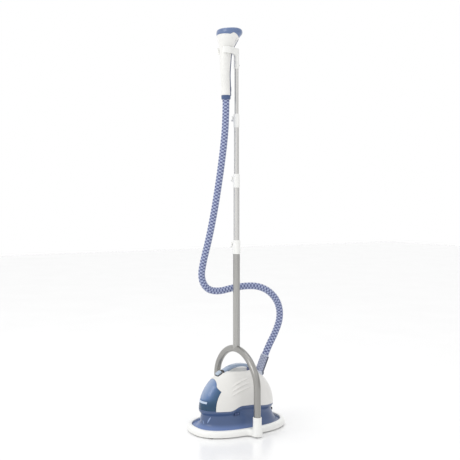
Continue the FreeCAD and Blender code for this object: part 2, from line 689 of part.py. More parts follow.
def make_tank():
    outside = dome()
    front = outside.common(tank_outline(0.0, -200, TANK_NECK_Y))
    back = block(-TANK_BACK_HALF_X, TANK_BACK_HALF_X, TANK_NECK_Y - 1, TANK_BACK_Y,
                 TANK_BOTTOM, TANK_BACK_TOP)
    shell = front.fuse(back)
    wall = TANK_WALL
    inner_front = dome(wall).common(tank_outline(-wall, -200, TANK_NECK_Y - wall))
    inner_back = block(-TANK_BACK_HALF_X + wall, TANK_BACK_HALF_X - wall, TANK_NECK_Y - wall - 1,
                       TANK_BACK_Y - wall, TANK_BOTTOM + wall, TANK_BACK_TOP - wall)
    shell = shell.cut(inner_front.fuse(inner_back))
    filler_top = TANK_BACK_TOP + FILLER_HEIGHT
    shell = shell.fuse(cylinder(FILLER_R + wall, TANK_BACK_TOP - 1, filler_top, 0, CAP_Y))
    shell = shell.cut(cylinder(FILLER_R, TANK_BACK_TOP - wall - 1, filler_top + 1, 0, CAP_Y))
    spigot = rod(VALVE_R, Vector(0, TANK_BACK_Y - 1, VALVE_Z), Y_AXIS, VALVE_LENGTH + 1)
    shell = shell.fuse(spigot)
    shell = shell.cut(rod(VALVE_R - VALVE_WALL, Vector(0, TANK_BACK_Y - wall - 1, VALVE_Z),
                          Y_AXIS, VALVE_LENGTH + wall - 1))
    end_y = TANK_BACK_Y + VALVE_LENGTH
    shell = shell.cut(rod(PLUNGER_R + 1.2, Vector(0, end_y - 4, VALVE_Z), Y_AXIS, 6))
    parts["water_tank"] = shell

    cap_low = TANK_BACK_TOP + CAP_LIFT
    cap = cylinder(CAP_R, cap_low, cap_low + CAP_HEIGHT, 0, CAP_Y)
    cap = cap.cut(cylinder(FILLER_R + wall + RUNNING, cap_low - 1, filler_top + 0.1, 0, CAP_Y))
    flute_x = CAP_R + 0.5
    for i in range(CAP_FLUTES):
        turn = 2 * math.pi * i / CAP_FLUTES
        cap = cap.cut(cylinder(CAP_FLUTE_R, cap_low - 1, cap_low + CAP_HEIGHT - 2,
                               flute_x * math.cos(turn), CAP_Y + flute_x * math.sin(turn)))
    parts["tank_cap"] = cap

    # Plunger: a rod through the spigot's end wall with a sealing disc inside
    disc_y = end_y - 2 - 2.5 - PLUNGER_TRAVEL
    plunger = rod(PLUNGER_R, Vector(0, disc_y - 6, VALVE_Z), Y_AXIS, end_y - disc_y + 3)
    disc = rod(VALVE_R - VALVE_WALL - RUNNING, Vector(0, disc_y - 2, VALVE_Z), Y_AXIS, 2.0)
    parts["tank_valve"] = plunger.fuse(disc)


def make_valve_port():
    y0 = TANK_BACK_Y + 4
    y1 = TANK_BACK_Y + VALVE_LENGTH + 10
    port = rod(VALVE_R + 3, Vector(0, y0, VALVE_Z), Y_AXIS, y1 - y0)
    port = port.cut(rod(VALVE_R + GAP, Vector(0, y0 - 1, VALVE_Z), Y_AXIS, y1 - y0 - 3))
    port = port.cut(rod(PIPE_R, Vector(0, y1 - 8, VALVE_Z), Y_AXIS, 20))
    post = block(-6, 6, y0 + 2, y1 - 3, DECK_Z, VALVE_Z - VALVE_R - 1)
    port = port.fuse(post)
    parts["valve_port"] = port


# ---------------------------------------------------------------- heater

def make_heater():
    top = BOILER_BOTTOM + BOILER_HEIGHT
    body = cylinder(BOILER_R, BOILER_BOTTOM, top, 0, BOILER_Y)
    body = body.fuse(cylinder(BOILER_R + LID_OVERHANG, top - 6, top, 0, BOILER_Y))
    body = body.cut(cylinder(BOILER_R - BOILER_WALL, BOILER_BOTTOM + BOILER_WALL + 4, top + 1, 0,
                             BOILER_Y))
    element = Part.makeTorus(ELEMENT_R, ELEMENT_TUBE_R, Vector(0, BOILER_Y, BOILER_BOTTOM + 4.6))
    gap = block(-7, 7, BOILER_Y + 10, BOILER_Y + 60, BOILER_BOTTOM - 5, BOILER_BOTTOM + 12)
    element = element.cut(gap)
    reach = math.sqrt(ELEMENT_R ** 2 - 49)
    for side in (-1, 1):
        terminal = rod(ELEMENT_TUBE_R, Vector(side * 7, BOILER_Y + reach, BOILER_BOTTOM + 4.6),
                       Y_AXIS, BOILER_R - reach + 12)
        element = element.fuse(terminal)
    body = body.cut(element)
    lid = cylinder(BOILER_R + LID_OVERHANG, top, top + LID_THICK, 0, BOILER_Y)
    lid_top = top + LID_THICK
    port_top = lid_top + PORT_HEIGHT
    for y in (BOILER_Y + STEAM_PORT_DY, BOILER_Y + WATER_PORT_DY):
        lid = lid.fuse(cylinder(PIPE_R + PORT_WALL, lid_top - 1, port_top, 0, y))
        lid = lid.cut(cylinder(PIPE_R - 1.5, top - 1, port_top + 1, 0, y))
    parts["boiler_body"] = body
    parts["heating_element"] = element
    parts["boiler_lid"] = lid

    disc_x = 24.0
    thermostat = cylinder(9, lid_top, lid_top + 7, disc_x, BOILER_Y + 4)
    for side in (-1, 1):
        blade = block(disc_x - 2.5, disc_x + 2.5, BOILER_Y + 4 + side * 6 - 0.5,
                      BOILER_Y + 4 + side * 6 + 0.5, lid_top + 6, lid_top + 15)
        thermostat = thermostat.fuse(blade)
    parts["thermostat"] = thermostat
    fuse_body = rod(3.0, Vector(-26, BOILER_Y - 10, lid_top + 3.0), Y_AXIS, 24)
    parts["thermal_fuse"] = fuse_body.fuse(block(-28, -24, BOILER_Y - 2, BOILER_Y + 6, lid_top,
                                                 lid_top + 2))
    base = block(-46, -30, 96, 116, TRAY_TOP, TRAY_TOP + 14)
    slots = [block(-47, -29, 96 + 3 + 6 * i, 96 + 5 + 6 * i, TRAY_TOP + 6, TRAY_TOP + 15)
             for i in range(3)]
    parts["terminal_block"] = base.cut(slots[0]).cut(slots[1]).cut(slots[2])

    start = Vector(0, TANK_BACK_Y + VALVE_LENGTH + 10, VALVE_Z)
    hump_z = VALVE_Z + WATER_HUMP
    path, _ = bent_path([start, start + Y_AXIS * 12, Vector(0, start.y + 20, hump_z),
                         Vector(0, BOILER_Y + WATER_PORT_DY, hump_z),
                         Vector(0, BOILER_Y + WATER_PORT_DY, port_top)])
    water = swept(path, PIPE_R).cut(swept(path, PIPE_R - PIPE_WALL))
    parts["water_tube"] = water
    axis = outlet_axis()
    steam_y = BOILER_Y + STEAM_PORT_DY
    path, _ = bent_path([Vector(0, steam_y, port_top), Vector(0, steam_y, port_top + 24),
                         OUTLET_BASE - axis * 50, OUTLET_BASE - axis * 12])
    parts["steam_tube"] = swept(path, PIPE_R + 1).cut(swept(path, PIPE_R - 0.6))


# ---------------------------------------------------------------- hose

def make_hose():
    axis = outlet_axis()
    flange = rod(GLAND_R, OUTLET_BASE - axis * GLAND_DEPTH, axis, GLAND_DEPTH + 5)
    flange = flange.cut(dome())
    neck = rod(HOSE_R + 0.5, OUTLET_BASE - axis * 12, axis, 14)
    gland = flange.fuse(neck)
    gland = gland.cut(rod(PIPE_R + 1 + SNUG, OUTLET_BASE - axis * 20, axis, 40))
    parts["hose_gland"] = largest(gland)

    cuff_start = OUTLET_BASE + axis * 5
    cuff = Part.makeCone(CUFF_R + 0.7, CUFF_R, CUFF_LENGTH - 5, cuff_start, axis)
    cuff = cuff.cut(rod(PIPE_R + 1, cuff_start - axis, axis, 40))
    parts["hose_cuff"] = cuff

    hose_start = OUTLET_BASE + axis * CUFF_LENGTH
    route = [hose_start] + [Vector(*point) for point in HOSE_ROUTE]
    route.append(Vector(0, NECK_SECTION[3], COLLAR_BOTTOM))
    path, radii = bent_path(route)
    hose = swept(path, HOSE_R)
    print("hose runs", [round((b - a).Length) for a, b in zip(route, route[1:])])
    print("hose radii", [round(radius) for radius in radii])
    print("hose length", round(path.Length, 1), "volume ratio",
          round(hose.Volume / (math.pi * HOSE_R ** 2 * path.Length), 4))
    parts["steam_hose"] = hose


# ---------------------------------------------------------------- pole

def make_hoop():
    shoulder_x = LEG_X - HOOP_SHOULDER_R
    rise = HOOP_APEX_Z - HOOP_SHOULDER_Z
    # Crown radius that meets the shoulders without a kink
    crown = ((shoulder_x ** 2 + rise ** 2 - HOOP_SHOULDER_R ** 2) / (2 * (rise - HOOP_SHOULDER_R)))
    crown_z = HOOP_APEX_Z - crown
    turn = math.atan2(shoulder_x, HOOP_SHOULDER_Z - crown_z)
    meet = Vector(crown * math.sin(turn), 0, crown_z + crown * math.cos(turn))
    half = (math.pi / 2 - turn) / 2

    def shoulder(side):
        x = shoulder_x + HOOP_SHOULDER_R * math.cos(half)
        return Vector(side * x, 0, HOOP_SHOULDER_Z + HOOP_SHOULDER_R * math.sin(half))

    def mirrored(point):
        return Vector(-point.x, point.y, point.z)

    left_foot = Vector(-LEG_X, 0, HOOP_LEG_BOTTOM)
    left_top = Vector(-LEG_X, 0, HOOP_SHOULDER_Z)
    wire = Part.Wire([line_edge(left_foot, left_top),
                      arc_edge(left_top, shoulder(-1), mirrored(meet)),
                      arc_edge(mirrored(meet), Vector(0, 0, HOOP_APEX_Z), meet),
                      arc_edge(meet, shoulder(1), mirrored(left_top)),
                      line_edge(mirrored(left_top), mirrored(left_foot))])
    outside = swept(wire, HOOP_TUBE_R)
    hoop = outside.cut(swept(wire, HOOP_TUBE_R - HOOP_WALL))
    stud_low = HOOP_APEX_Z + HOOP_TUBE_R - 8
    hoop = hoop.cut(cylinder(SPIGOT_STUD_R + SNUG, stud_low, HOOP_APEX_Z + 30))
    parts["hoop_tube"] = hoop
    return outside


def make_pole(hoop_outside):
    count = len(TUBE_R)
    saddle_z = HOOP_APEX_Z
    tops = [bottom + SLEEVE_GRIP for bottom in SLEEVE_BOTTOM] + [POLE_TOP]
    bottoms = [saddle_z] + [top - TUBE_OVERLAP for top in tops[:-1]]
    for i in range(count):
        stage = tube(TUBE_R[i], TUBE_WALL, bottoms[i], tops[i])
        if i == 0:
            stage = stage.cut(hoop_outside)
        parts["pole_tube_%d" % (i + 1)] = largest(stage)
        if i > 0:
            outer = TUBE_R[i - 1] - TUBE_WALL - RUNNING
            inner = TUBE_R[i] - TUBE_WALL
            bush = cylinder(outer, bottoms[i] - BUSH_LENGTH, bottoms[i])
            bush = bush.fuse(cylinder(inner - SNUG, bottoms[i] - 1, bottoms[i] + BUSH_SPIGOT))
            bush = bush.cut(cylinder(inner - 2.5, bottoms[i] - BUSH_LENGTH - 1, bottoms[i] + 30))
            parts["pole_bush_%d" % (i + 1)] = bush

    spigot = cylinder(TUBE_R[0] - TUBE_WALL - SNUG, saddle_z, HOOP_APEX_Z + SPIGOT_LENGTH)
    spigot = largest(spigot.cut(hoop_outside))
    stud = cylinder(SPIGOT_STUD_R, HOOP_APEX_Z + HOOP_TUBE_R - 7, HOOP_APEX_Z + SPIGOT_LENGTH - 2)
    parts["pole_spigot"] = spigot.fuse(stud)


def lever_frame(shape):
    """Place a shape drawn on the +X side of the pole on the side where the levers are."""
    shape.rotate(ORIGIN, Z_AXIS, LEVER_AZIMUTH)
    return shape


def make_clamp(stage):
    low = SLEEVE_BOTTOM[stage]
    high = low + SLEEVE_HEIGHT
    lower_r = TUBE_R[stage]
    upper_r = TUBE_R[stage + 1]
    outer = lower_r + SLEEVE_WALL
    pivot_x = outer + 2.6
    pivot_z = low + LEVER_PIVOT_Z
    half_width = LEVER_WIDTH / 2

    sleeve = cylinder(outer, low, high)
    rim = [edge for edge in sleeve.Edges if edge.Curve.TypeId == "Part::GeomCircle"]
    sleeve = sleeve.makeFillet(0.9, rim)
    ear_half = half_width + 0.3 + EAR_WALL
    ears = block(0, pivot_x, -ear_half, ear_half, pivot_z - 4, pivot_z + 4)
    ears = ears.fuse(Part.makeCylinder(4, 2 * ear_half, Vector(pivot_x, -ear_half, pivot_z), Y_AXIS))
    slot = block(outer + 0.2, outer + 20, -half_width - 0.3, half_width + 0.3, pivot_z - 8, high + 1)
    pin_way = Part.makeCylinder(LEVER_PIN_R + SNUG, 60, Vector(pivot_x, -30, pivot_z), Y_AXIS)
    ears = ears.cut(slot).cut(pin_way)
    sleeve = sleeve.fuse(lever_frame(ears))
    sleeve = sleeve.cut(cylinder(lower_r + SNUG, low - 1, low + SLEEVE_GRIP))
    sleeve = sleeve.cut(cylinder(upper_r + RUNNING, low, high + 1))
    parts["clamp_sleeve_%d" % (stage + 1)] = sleeve

    pin = Part.makeCylinder(LEVER_PIN_R, 2 * ear_half, Vector(pivot_x, -ear_half, pivot_z), Y_AXIS)
    parts["lever_pin_%d" % (stage + 1)] = lever_frame(pin)

    inner_x = outer + 0.5
    outer_x = inner_x + LEVER_THICK
    tip = pivot_z + LEVER_LENGTH
    outline = [Vector(inner_x, -half_width, pivot_z), Vector(inner_x, -half_width, tip - 3),
               Vector(inner_x + 2.2, -half_width, tip), Vector(outer_x + 2.4, -half_width, tip),
               Vector(outer_x, -half_width, tip - 5), Vector(outer_x, -half_width, pivot_z)]
    lever = Part.Face(Part.makePolygon(outline + outline[:1])).extrude(Vector(0, LEVER_WIDTH, 0))
    eye_r = pivot_x - inner_x
    eye = Part.makeCylinder(eye_r, LEVER_WIDTH, Vector(pivot_x, -half_width, pivot_z), Y_AXIS)
    lever = lever.fuse(eye)
    bore = Part.makeCylinder(LEVER_PIN_R + RUNNING, 60, Vector(pivot_x, -30, pivot_z), Y_AXIS)
    parts["clamp_lever_%d" % (stage + 1)] = lever_frame(lever.cut(bore))
    turn = math.radians(LEVER_AZIMUTH)
    print("lever", stage + 1, "pivot", round(pivot_x * math.cos(turn), 4),
          round(pivot_x * math.sin(turn), 4), pivot_z)


# ---------------------------------------------------------------- cradle and handset

def make_bracket():
    centre_y = CRADLE_SECTION[3]
    ring = cylinder(CRADLE_R, CRADLE_BOTTOM, CRADLE_TOP, 0, centre_y)
    wide = 2 * CRADLE_R + 18
    half_gap = wide * math.tan(math.radians(CRADLE_OPENING))
    corners = [Vector(0, centre_y, CRADLE_BOTTOM - 1), Vector(-half_gap, centre_y - wide, CRADLE_BOTTOM - 1),
               Vector(half_gap, centre_y - wide, CRADLE_BOTTOM - 1)]
    wedge = Part.Face(Part.makePolygon(corners + corners[:1])).extrude(Vector(0, 0, CRADLE_HEIGHT + 2))
    socket_r = TUBE_R[-1] + BRACKET_WALL
    bridge = block(-socket_r, socket_r, centre_y, 0, CRADLE_BOTTOM, CRADLE_TOP)
    post = cylinder(socket_r, BRACKET_BOTTOM, CRADLE_TOP)
    bracket = ring.fuse([bridge, post]).cut(wedge)
    bracket = bracket.cut(oval_loft(HANDSET_SECTIONS, GAP))
    spine_way = block(-SPINE_HALF_X - GAP, SPINE_HALF_X + GAP, centre_y, 0, CRADLE_BOTTOM - 1,
                      CRADLE_TOP + 1)
    bracket = bracket.cut(oval_loft(HANDSET_SECTIONS, SPINE_PROUD + GAP).common(spine_way))
    way = cylinder(CRADLE_SECTION[1], BRACKET_BOTTOM - 1, CRADLE_BOTTOM + 4, 0, centre_y)
    bracket = bracket.cut(way)
    bracket = bracket.cut(cylinder(TUBE_R[-1] + SNUG, BRACKET_BOTTOM - 1, POLE_TOP))
    screw_z = BRACKET_SCREW_Z
    head_r = 3.2
    bracket = bracket.cut(rod(SCREW_R + SNUG, Vector(0, 0, screw_z), Y_AXIS, 30))
    bracket = bracket.cut(rod(head_r + SNUG, Vector(0, socket_r - 0.3, screw_z), Y_AXIS, 5))
    parts["hanger_bracket"] = largest(bracket)
    tube_4 = parts["pole_tube_4"].cut(rod(SCREW_R + SNUG, Vector(0, 0, screw_z), Y_AXIS, 30))
    parts["pole_tube_4"] = tube_4
    head = rod(head_r, Vector(0, socket_r - 0.3, screw_z), Y_AXIS, 2.0)
    shank = rod(SCREW_R, Vector(0, TUBE_R[-1] - 3, screw_z), Y_AXIS, 6)
    parts["bracket_screw"] = head.fuse(shank)


def plate_prism(half_x, half_y, low, high):
    face = Part.Face(oval_wire(half_x, half_y, 0.0, 2.3))
    shape = face.extrude(Vector(0, 0, high - low))
    shape.translate(PLATE_CENTRE + Vector(0, 0, low))
    return tilted(shape, PLATE_TILT, PLATE_CENTRE)


def above_plate(offset):
    shape = block(-FAR, FAR, -FAR, FAR, PLATE_CENTRE.z + offset, PLATE_CENTRE.z + FAR)
    return tilted(shape, PLATE_TILT, PLATE_CENTRE)


def make_handset():
    outside = oval_loft(HANDSET_SECTIONS).cut(above_plate(0.0))
    inside = oval_loft(HANDSET_SECTIONS, -HANDSET_WALL).cut(above_plate(-HANDSET_WALL))
    skin = outside.cut(inside)
    high = CRADLE_BOTTOM + FAR
    top = [(y, CRADLE_BOTTOM + z) for y, z in HEAD_SPLIT]
    top = top + [(HEAD_SPLIT[-1][0], high), (HEAD_SPLIT[0][0], high)]
    cap_space = side_prism(top, 2 * PLATE_HALF_X)
    cap = skin.common(cap_space)
    cap = cap.cut(plate_prism(PLATE_HALF_X, PLATE_HALF_Y, -20, 5))
    parts["head_cap"] = largest(cap)
    body = skin.cut(cap_space)

    # Rear spine: a strip let into the back of both shells, from the collar to the head
    rear_y = CRADLE_SECTION[3]
    strip = block(-SPINE_HALF_X, SPINE_HALF_X, rear_y, FAR, COLLAR_BOTTOM, high)
    spine = oval_loft(HANDSET_SECTIONS, SPINE_PROUD).cut(inside).common(strip).cut(cap_space)
    slot_x = SPINE_HALF_X + SPINE_SIDE_GAP
    body = body.cut(block(-slot_x, slot_x, rear_y, FAR, COLLAR_BOTTOM, high))
    window_z = STEAM_BUTTON_HALF_Z + GAP
    window_x = STEAM_BUTTON_HALF_X + GAP
    window = block(-window_x, window_x, rear_y + 5, 0, STEAM_BUTTON_Z - window_z,
                   STEAM_BUTTON_Z + window_z)
    parts["handset_spine"] = largest(spine.cut(window))
    for side, name in ((-1, "left"), (1, "right")):
        half = block(min(0, side * FAR), max(0, side * FAR), -FAR, FAR, COLLAR_BOTTOM, high)
        parts["handset_shell_" + name] = largest(body.common(half))

    # Steam button in the spine's window, with a flange that keeps it in
    skin_y = spine_back(STEAM_BUTTON_Z)
    button = block(-STEAM_BUTTON_HALF_X, STEAM_BUTTON_HALF_X, skin_y - 5,
                   skin_y + STEAM_BUTTON_PROUD, STEAM_BUTTON_Z - STEAM_BUTTON_HALF_Z,
                   STEAM_BUTTON_Z + STEAM_BUTTON_HALF_Z)
    outer_edges = [edge for edge in button.Edges
                   if all(v.Y > skin_y + STEAM_BUTTON_PROUD - 0.1 for v in edge.Vertexes)]
    button = button.makeFillet(1.4, outer_edges)
    flange_x = STEAM_BUTTON_HALF_X + STEAM_BUTTON_FLANGE
    flange_z = STEAM_BUTTON_HALF_Z + STEAM_BUTTON_FLANGE + 0.5
    flange = block(-flange_x, flange_x, skin_y - 5, skin_y - 4,
                   STEAM_BUTTON_Z - flange_z, STEAM_BUTTON_Z + flange_z)
    parts["steam_button"] = button.fuse(flange)

    collar_top = NECK_SECTION[0]
    centre_y = NECK_SECTION[3]
    collar = Part.makeCone(COLLAR_R - 1.0, COLLAR_R, collar_top - COLLAR_BOTTOM,
                           Vector(0, centre_y, COLLAR_BOTTOM))
    collar = collar.fuse(cylinder(NECK_SECTION[1] - HANDSET_WALL - 0.3, collar_top - 1,
                                  collar_top + 6, 0, centre_y))
    collar = collar.cut(cylinder(DUCT_R + SNUG, COLLAR_BOTTOM - 1, collar_top + 10, 0, centre_y))
    parts["handset_collar"] = collar

    # Steam duct: a straight pipe that opens into a funnel behind the steam plate
    funnel = ((COLLAR_BOTTOM + 0.5, DUCT_R, DUCT_R, centre_y),
              (FUNNEL_BOTTOM, DUCT_R, DUCT_R, centre_y),
              (FUNNEL_TOP, PLATE_HALF_X - 8, PLATE_HALF_Y - 4, PLATE_CENTRE.y))
    duct_solid = oval_loft(funnel)
    parts["steam_duct"] = duct_solid.cut(oval_loft(funnel, -DUCT_WALL))

    plate = plate_prism(PLATE_HALF_X - 0.1, PLATE_HALF_Y - 0.1, -PLATE_THICK + 1.0, 1.0)
    for y, count in PLATE_HOLE_ROWS:
        for i in range(count):
            x = (i - (count - 1) / 2) * PLATE_HOLE_PITCH
            hole = cylinder(PLATE_HOLE_R, -20, 20, x, y)
            hole.translate(PLATE_CENTRE)
            plate = plate.cut(tilted(hole, PLATE_TILT, PLATE_CENTRE))
    skirt = plate_prism(PLATE_HALF_X - 4, PLATE_HALF_Y - 4, -PLATE_SKIRT, -PLATE_THICK + 1.5)
    skirt = skirt.cut(plate_prism(PLATE_HALF_X - 6, PLATE_HALF_Y - 6, -PLATE_SKIRT - 1, 0))
    skirt = skirt.common(block(-FAR, FAR, -FAR, FAR, FUNNEL_TOP - 1, high)).cut(duct_solid)
    parts["steam_plate"] = plate.fuse(skirt)


def spine_back(z):
    """Y of the handset's rear surface at a height, between the two nearest sections."""
    for lower, upper in zip(HANDSET_SECTIONS, HANDSET_SECTIONS[1:]):
        if lower[0] <= z <= upper[0]:
            share = (z - lower[0]) / (upper[0] - lower[0])
            back = [section[3] + section[2] for section in (lower, upper)]
            return back[0] + share * (back[1] - back[0])
    raise ValueError("no section at this height")


# ---------------------------------------------------------------- build

make_stand()
make_tray()
make_lower_housing()
make_upper_housing()
make_handle()
make_release_button()
make_switch()
make_inlet()
make_tank()
make_valve_port()
make_heater()
make_hose()
make_pole(make_hoop())
for clamp_stage in range(len(SLEEVE_BOTTOM)):
    make_clamp(clamp_stage)
make_bracket()
make_handset()

os.makedirs("parts", exist_ok=True)
for name, shape in parts.items():
    solids = shape.Solids
    if not shape.isValid() or not solids:
        print("BAD", name, shape.isValid(), len(solids))
    shape.exportStep("parts/%s.step" % name)
    print(name, len(solids), "solids", round(shape.Volume / 1000, 1), "cm3")
print(len(parts), "nodes")
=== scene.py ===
import json
import math

import bmesh
import bpy
from mathutils import Matrix, Vector
from mathutils.bvhtree import BVHTree

# Upright garment steamer.  Metres.  +Z is up, the origin is on the floor under the pole,
# the tank faces -Y, the hose leaves towards +Y and the hoop stands in the X-Z plane.
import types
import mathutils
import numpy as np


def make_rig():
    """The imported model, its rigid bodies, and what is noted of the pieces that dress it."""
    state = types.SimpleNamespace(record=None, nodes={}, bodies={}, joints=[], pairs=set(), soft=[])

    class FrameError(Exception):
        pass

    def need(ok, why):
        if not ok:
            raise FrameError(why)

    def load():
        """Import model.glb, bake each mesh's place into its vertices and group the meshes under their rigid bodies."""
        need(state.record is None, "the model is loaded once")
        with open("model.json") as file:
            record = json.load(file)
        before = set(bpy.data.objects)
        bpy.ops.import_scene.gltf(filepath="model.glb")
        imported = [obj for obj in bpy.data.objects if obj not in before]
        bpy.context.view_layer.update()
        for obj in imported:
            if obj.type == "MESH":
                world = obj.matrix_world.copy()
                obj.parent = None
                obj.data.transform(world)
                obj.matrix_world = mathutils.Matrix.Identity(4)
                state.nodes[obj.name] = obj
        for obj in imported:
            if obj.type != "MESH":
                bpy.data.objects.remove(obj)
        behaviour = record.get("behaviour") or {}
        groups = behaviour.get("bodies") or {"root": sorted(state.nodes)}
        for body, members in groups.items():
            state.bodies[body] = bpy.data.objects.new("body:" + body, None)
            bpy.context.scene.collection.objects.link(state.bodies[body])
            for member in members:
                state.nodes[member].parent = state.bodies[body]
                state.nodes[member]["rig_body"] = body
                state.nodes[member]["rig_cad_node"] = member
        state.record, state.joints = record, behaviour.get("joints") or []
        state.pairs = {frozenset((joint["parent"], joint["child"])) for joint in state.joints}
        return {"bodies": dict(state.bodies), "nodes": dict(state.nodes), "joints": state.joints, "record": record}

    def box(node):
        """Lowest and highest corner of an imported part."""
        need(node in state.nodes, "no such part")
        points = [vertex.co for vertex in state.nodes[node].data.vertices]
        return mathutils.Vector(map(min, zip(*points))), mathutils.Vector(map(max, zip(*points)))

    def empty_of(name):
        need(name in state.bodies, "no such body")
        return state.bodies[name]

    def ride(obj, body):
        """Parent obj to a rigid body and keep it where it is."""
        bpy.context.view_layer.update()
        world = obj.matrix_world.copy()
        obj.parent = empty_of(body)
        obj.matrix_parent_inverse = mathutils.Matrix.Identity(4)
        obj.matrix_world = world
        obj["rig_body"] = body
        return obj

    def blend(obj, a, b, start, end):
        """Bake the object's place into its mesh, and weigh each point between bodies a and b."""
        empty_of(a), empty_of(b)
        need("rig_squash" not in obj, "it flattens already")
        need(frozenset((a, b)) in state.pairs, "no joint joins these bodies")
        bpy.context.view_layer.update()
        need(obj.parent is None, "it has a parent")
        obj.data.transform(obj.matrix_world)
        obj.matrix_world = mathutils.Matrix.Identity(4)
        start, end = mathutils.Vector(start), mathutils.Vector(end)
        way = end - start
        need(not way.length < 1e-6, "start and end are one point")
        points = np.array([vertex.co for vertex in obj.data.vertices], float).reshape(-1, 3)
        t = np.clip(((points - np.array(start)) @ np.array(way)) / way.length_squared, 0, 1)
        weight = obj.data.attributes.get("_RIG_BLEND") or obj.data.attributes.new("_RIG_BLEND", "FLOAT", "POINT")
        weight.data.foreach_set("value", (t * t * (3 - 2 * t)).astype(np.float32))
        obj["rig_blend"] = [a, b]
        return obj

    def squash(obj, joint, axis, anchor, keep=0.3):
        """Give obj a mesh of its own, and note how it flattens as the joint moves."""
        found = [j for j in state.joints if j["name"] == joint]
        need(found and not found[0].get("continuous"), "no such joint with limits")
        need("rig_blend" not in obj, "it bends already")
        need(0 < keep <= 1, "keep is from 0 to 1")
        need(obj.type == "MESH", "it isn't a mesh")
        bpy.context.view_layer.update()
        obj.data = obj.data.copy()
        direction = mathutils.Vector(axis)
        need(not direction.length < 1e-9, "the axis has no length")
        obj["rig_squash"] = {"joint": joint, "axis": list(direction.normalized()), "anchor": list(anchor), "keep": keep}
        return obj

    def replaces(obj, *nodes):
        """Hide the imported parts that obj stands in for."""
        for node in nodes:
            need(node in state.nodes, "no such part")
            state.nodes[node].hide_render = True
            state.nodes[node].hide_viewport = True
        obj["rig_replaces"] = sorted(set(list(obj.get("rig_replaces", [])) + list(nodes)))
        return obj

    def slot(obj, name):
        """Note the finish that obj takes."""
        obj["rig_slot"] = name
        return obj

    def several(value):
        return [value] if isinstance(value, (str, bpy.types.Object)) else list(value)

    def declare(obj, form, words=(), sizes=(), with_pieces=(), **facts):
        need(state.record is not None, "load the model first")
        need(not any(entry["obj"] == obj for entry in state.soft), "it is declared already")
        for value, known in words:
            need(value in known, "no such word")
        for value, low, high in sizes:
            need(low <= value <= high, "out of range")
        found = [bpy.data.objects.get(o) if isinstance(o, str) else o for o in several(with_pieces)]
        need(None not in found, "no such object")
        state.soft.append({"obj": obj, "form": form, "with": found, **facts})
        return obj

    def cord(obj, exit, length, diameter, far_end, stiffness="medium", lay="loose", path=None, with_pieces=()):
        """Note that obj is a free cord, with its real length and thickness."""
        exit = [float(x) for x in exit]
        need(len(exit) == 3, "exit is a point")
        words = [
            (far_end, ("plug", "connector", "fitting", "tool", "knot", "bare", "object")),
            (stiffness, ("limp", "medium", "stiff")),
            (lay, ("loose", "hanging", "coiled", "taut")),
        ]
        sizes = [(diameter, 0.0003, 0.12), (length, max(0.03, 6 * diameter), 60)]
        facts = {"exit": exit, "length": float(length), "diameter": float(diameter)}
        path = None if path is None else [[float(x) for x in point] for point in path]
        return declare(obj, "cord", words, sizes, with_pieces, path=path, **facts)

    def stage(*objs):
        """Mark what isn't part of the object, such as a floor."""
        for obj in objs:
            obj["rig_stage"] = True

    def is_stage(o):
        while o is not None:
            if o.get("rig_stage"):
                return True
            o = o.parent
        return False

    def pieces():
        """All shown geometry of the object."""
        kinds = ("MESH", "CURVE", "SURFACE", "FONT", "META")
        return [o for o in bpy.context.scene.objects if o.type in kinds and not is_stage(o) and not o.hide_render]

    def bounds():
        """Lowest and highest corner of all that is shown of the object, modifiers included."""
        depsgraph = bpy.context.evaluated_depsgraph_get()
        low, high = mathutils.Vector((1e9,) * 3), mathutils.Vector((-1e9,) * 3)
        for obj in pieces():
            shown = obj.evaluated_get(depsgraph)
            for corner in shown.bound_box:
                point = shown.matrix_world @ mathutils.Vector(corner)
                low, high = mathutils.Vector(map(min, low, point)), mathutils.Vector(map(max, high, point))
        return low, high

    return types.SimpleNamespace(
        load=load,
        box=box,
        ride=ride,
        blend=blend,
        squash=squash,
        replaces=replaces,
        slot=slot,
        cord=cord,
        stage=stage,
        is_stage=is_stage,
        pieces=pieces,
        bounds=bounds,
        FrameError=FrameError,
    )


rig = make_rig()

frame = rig.load()
cad_box = [list(corner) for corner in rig.bounds()]
nodes = frame["nodes"]

STAND = "stand"

# Stand ring
RING_HALF_X, RING_HALF_Y = 0.106, 0.171     # inside half-width and half-length
RING_RIM = 0.016
RING_BOTTOM, RING_TOP = 0.003, 0.026
RING_POWER = 2.5
LEG_X = 0.143
SOCKET_R = 0.0155
SOCKET_TOP = 0.070
LOBE_R = 0.019
FAIRING_R = 0.018
TRAY_TOP = 0.020
TRAY_LEDGE = 0.008

# Body: an ovoid over a waisted housing
DOME_HALF = Vector((0.085, 0.152, 0.142))
DOME_BASE = 0.080
DOME_WALL = 0.0025
SEAM = ((-0.190, 0.082), (-0.150, 0.0824), (-0.110, 0.0828), (-0.080, 0.083), (-0.062, 0.0845),
        (-0.048, 0.091), (-0.034, 0.097), (-0.010, 0.0988), (0.020, 0.097), (0.056, 0.0895),
        (0.095, 0.0835), (0.140, 0.079), (0.190, 0.076))
SEAM_GAP = 0.0003
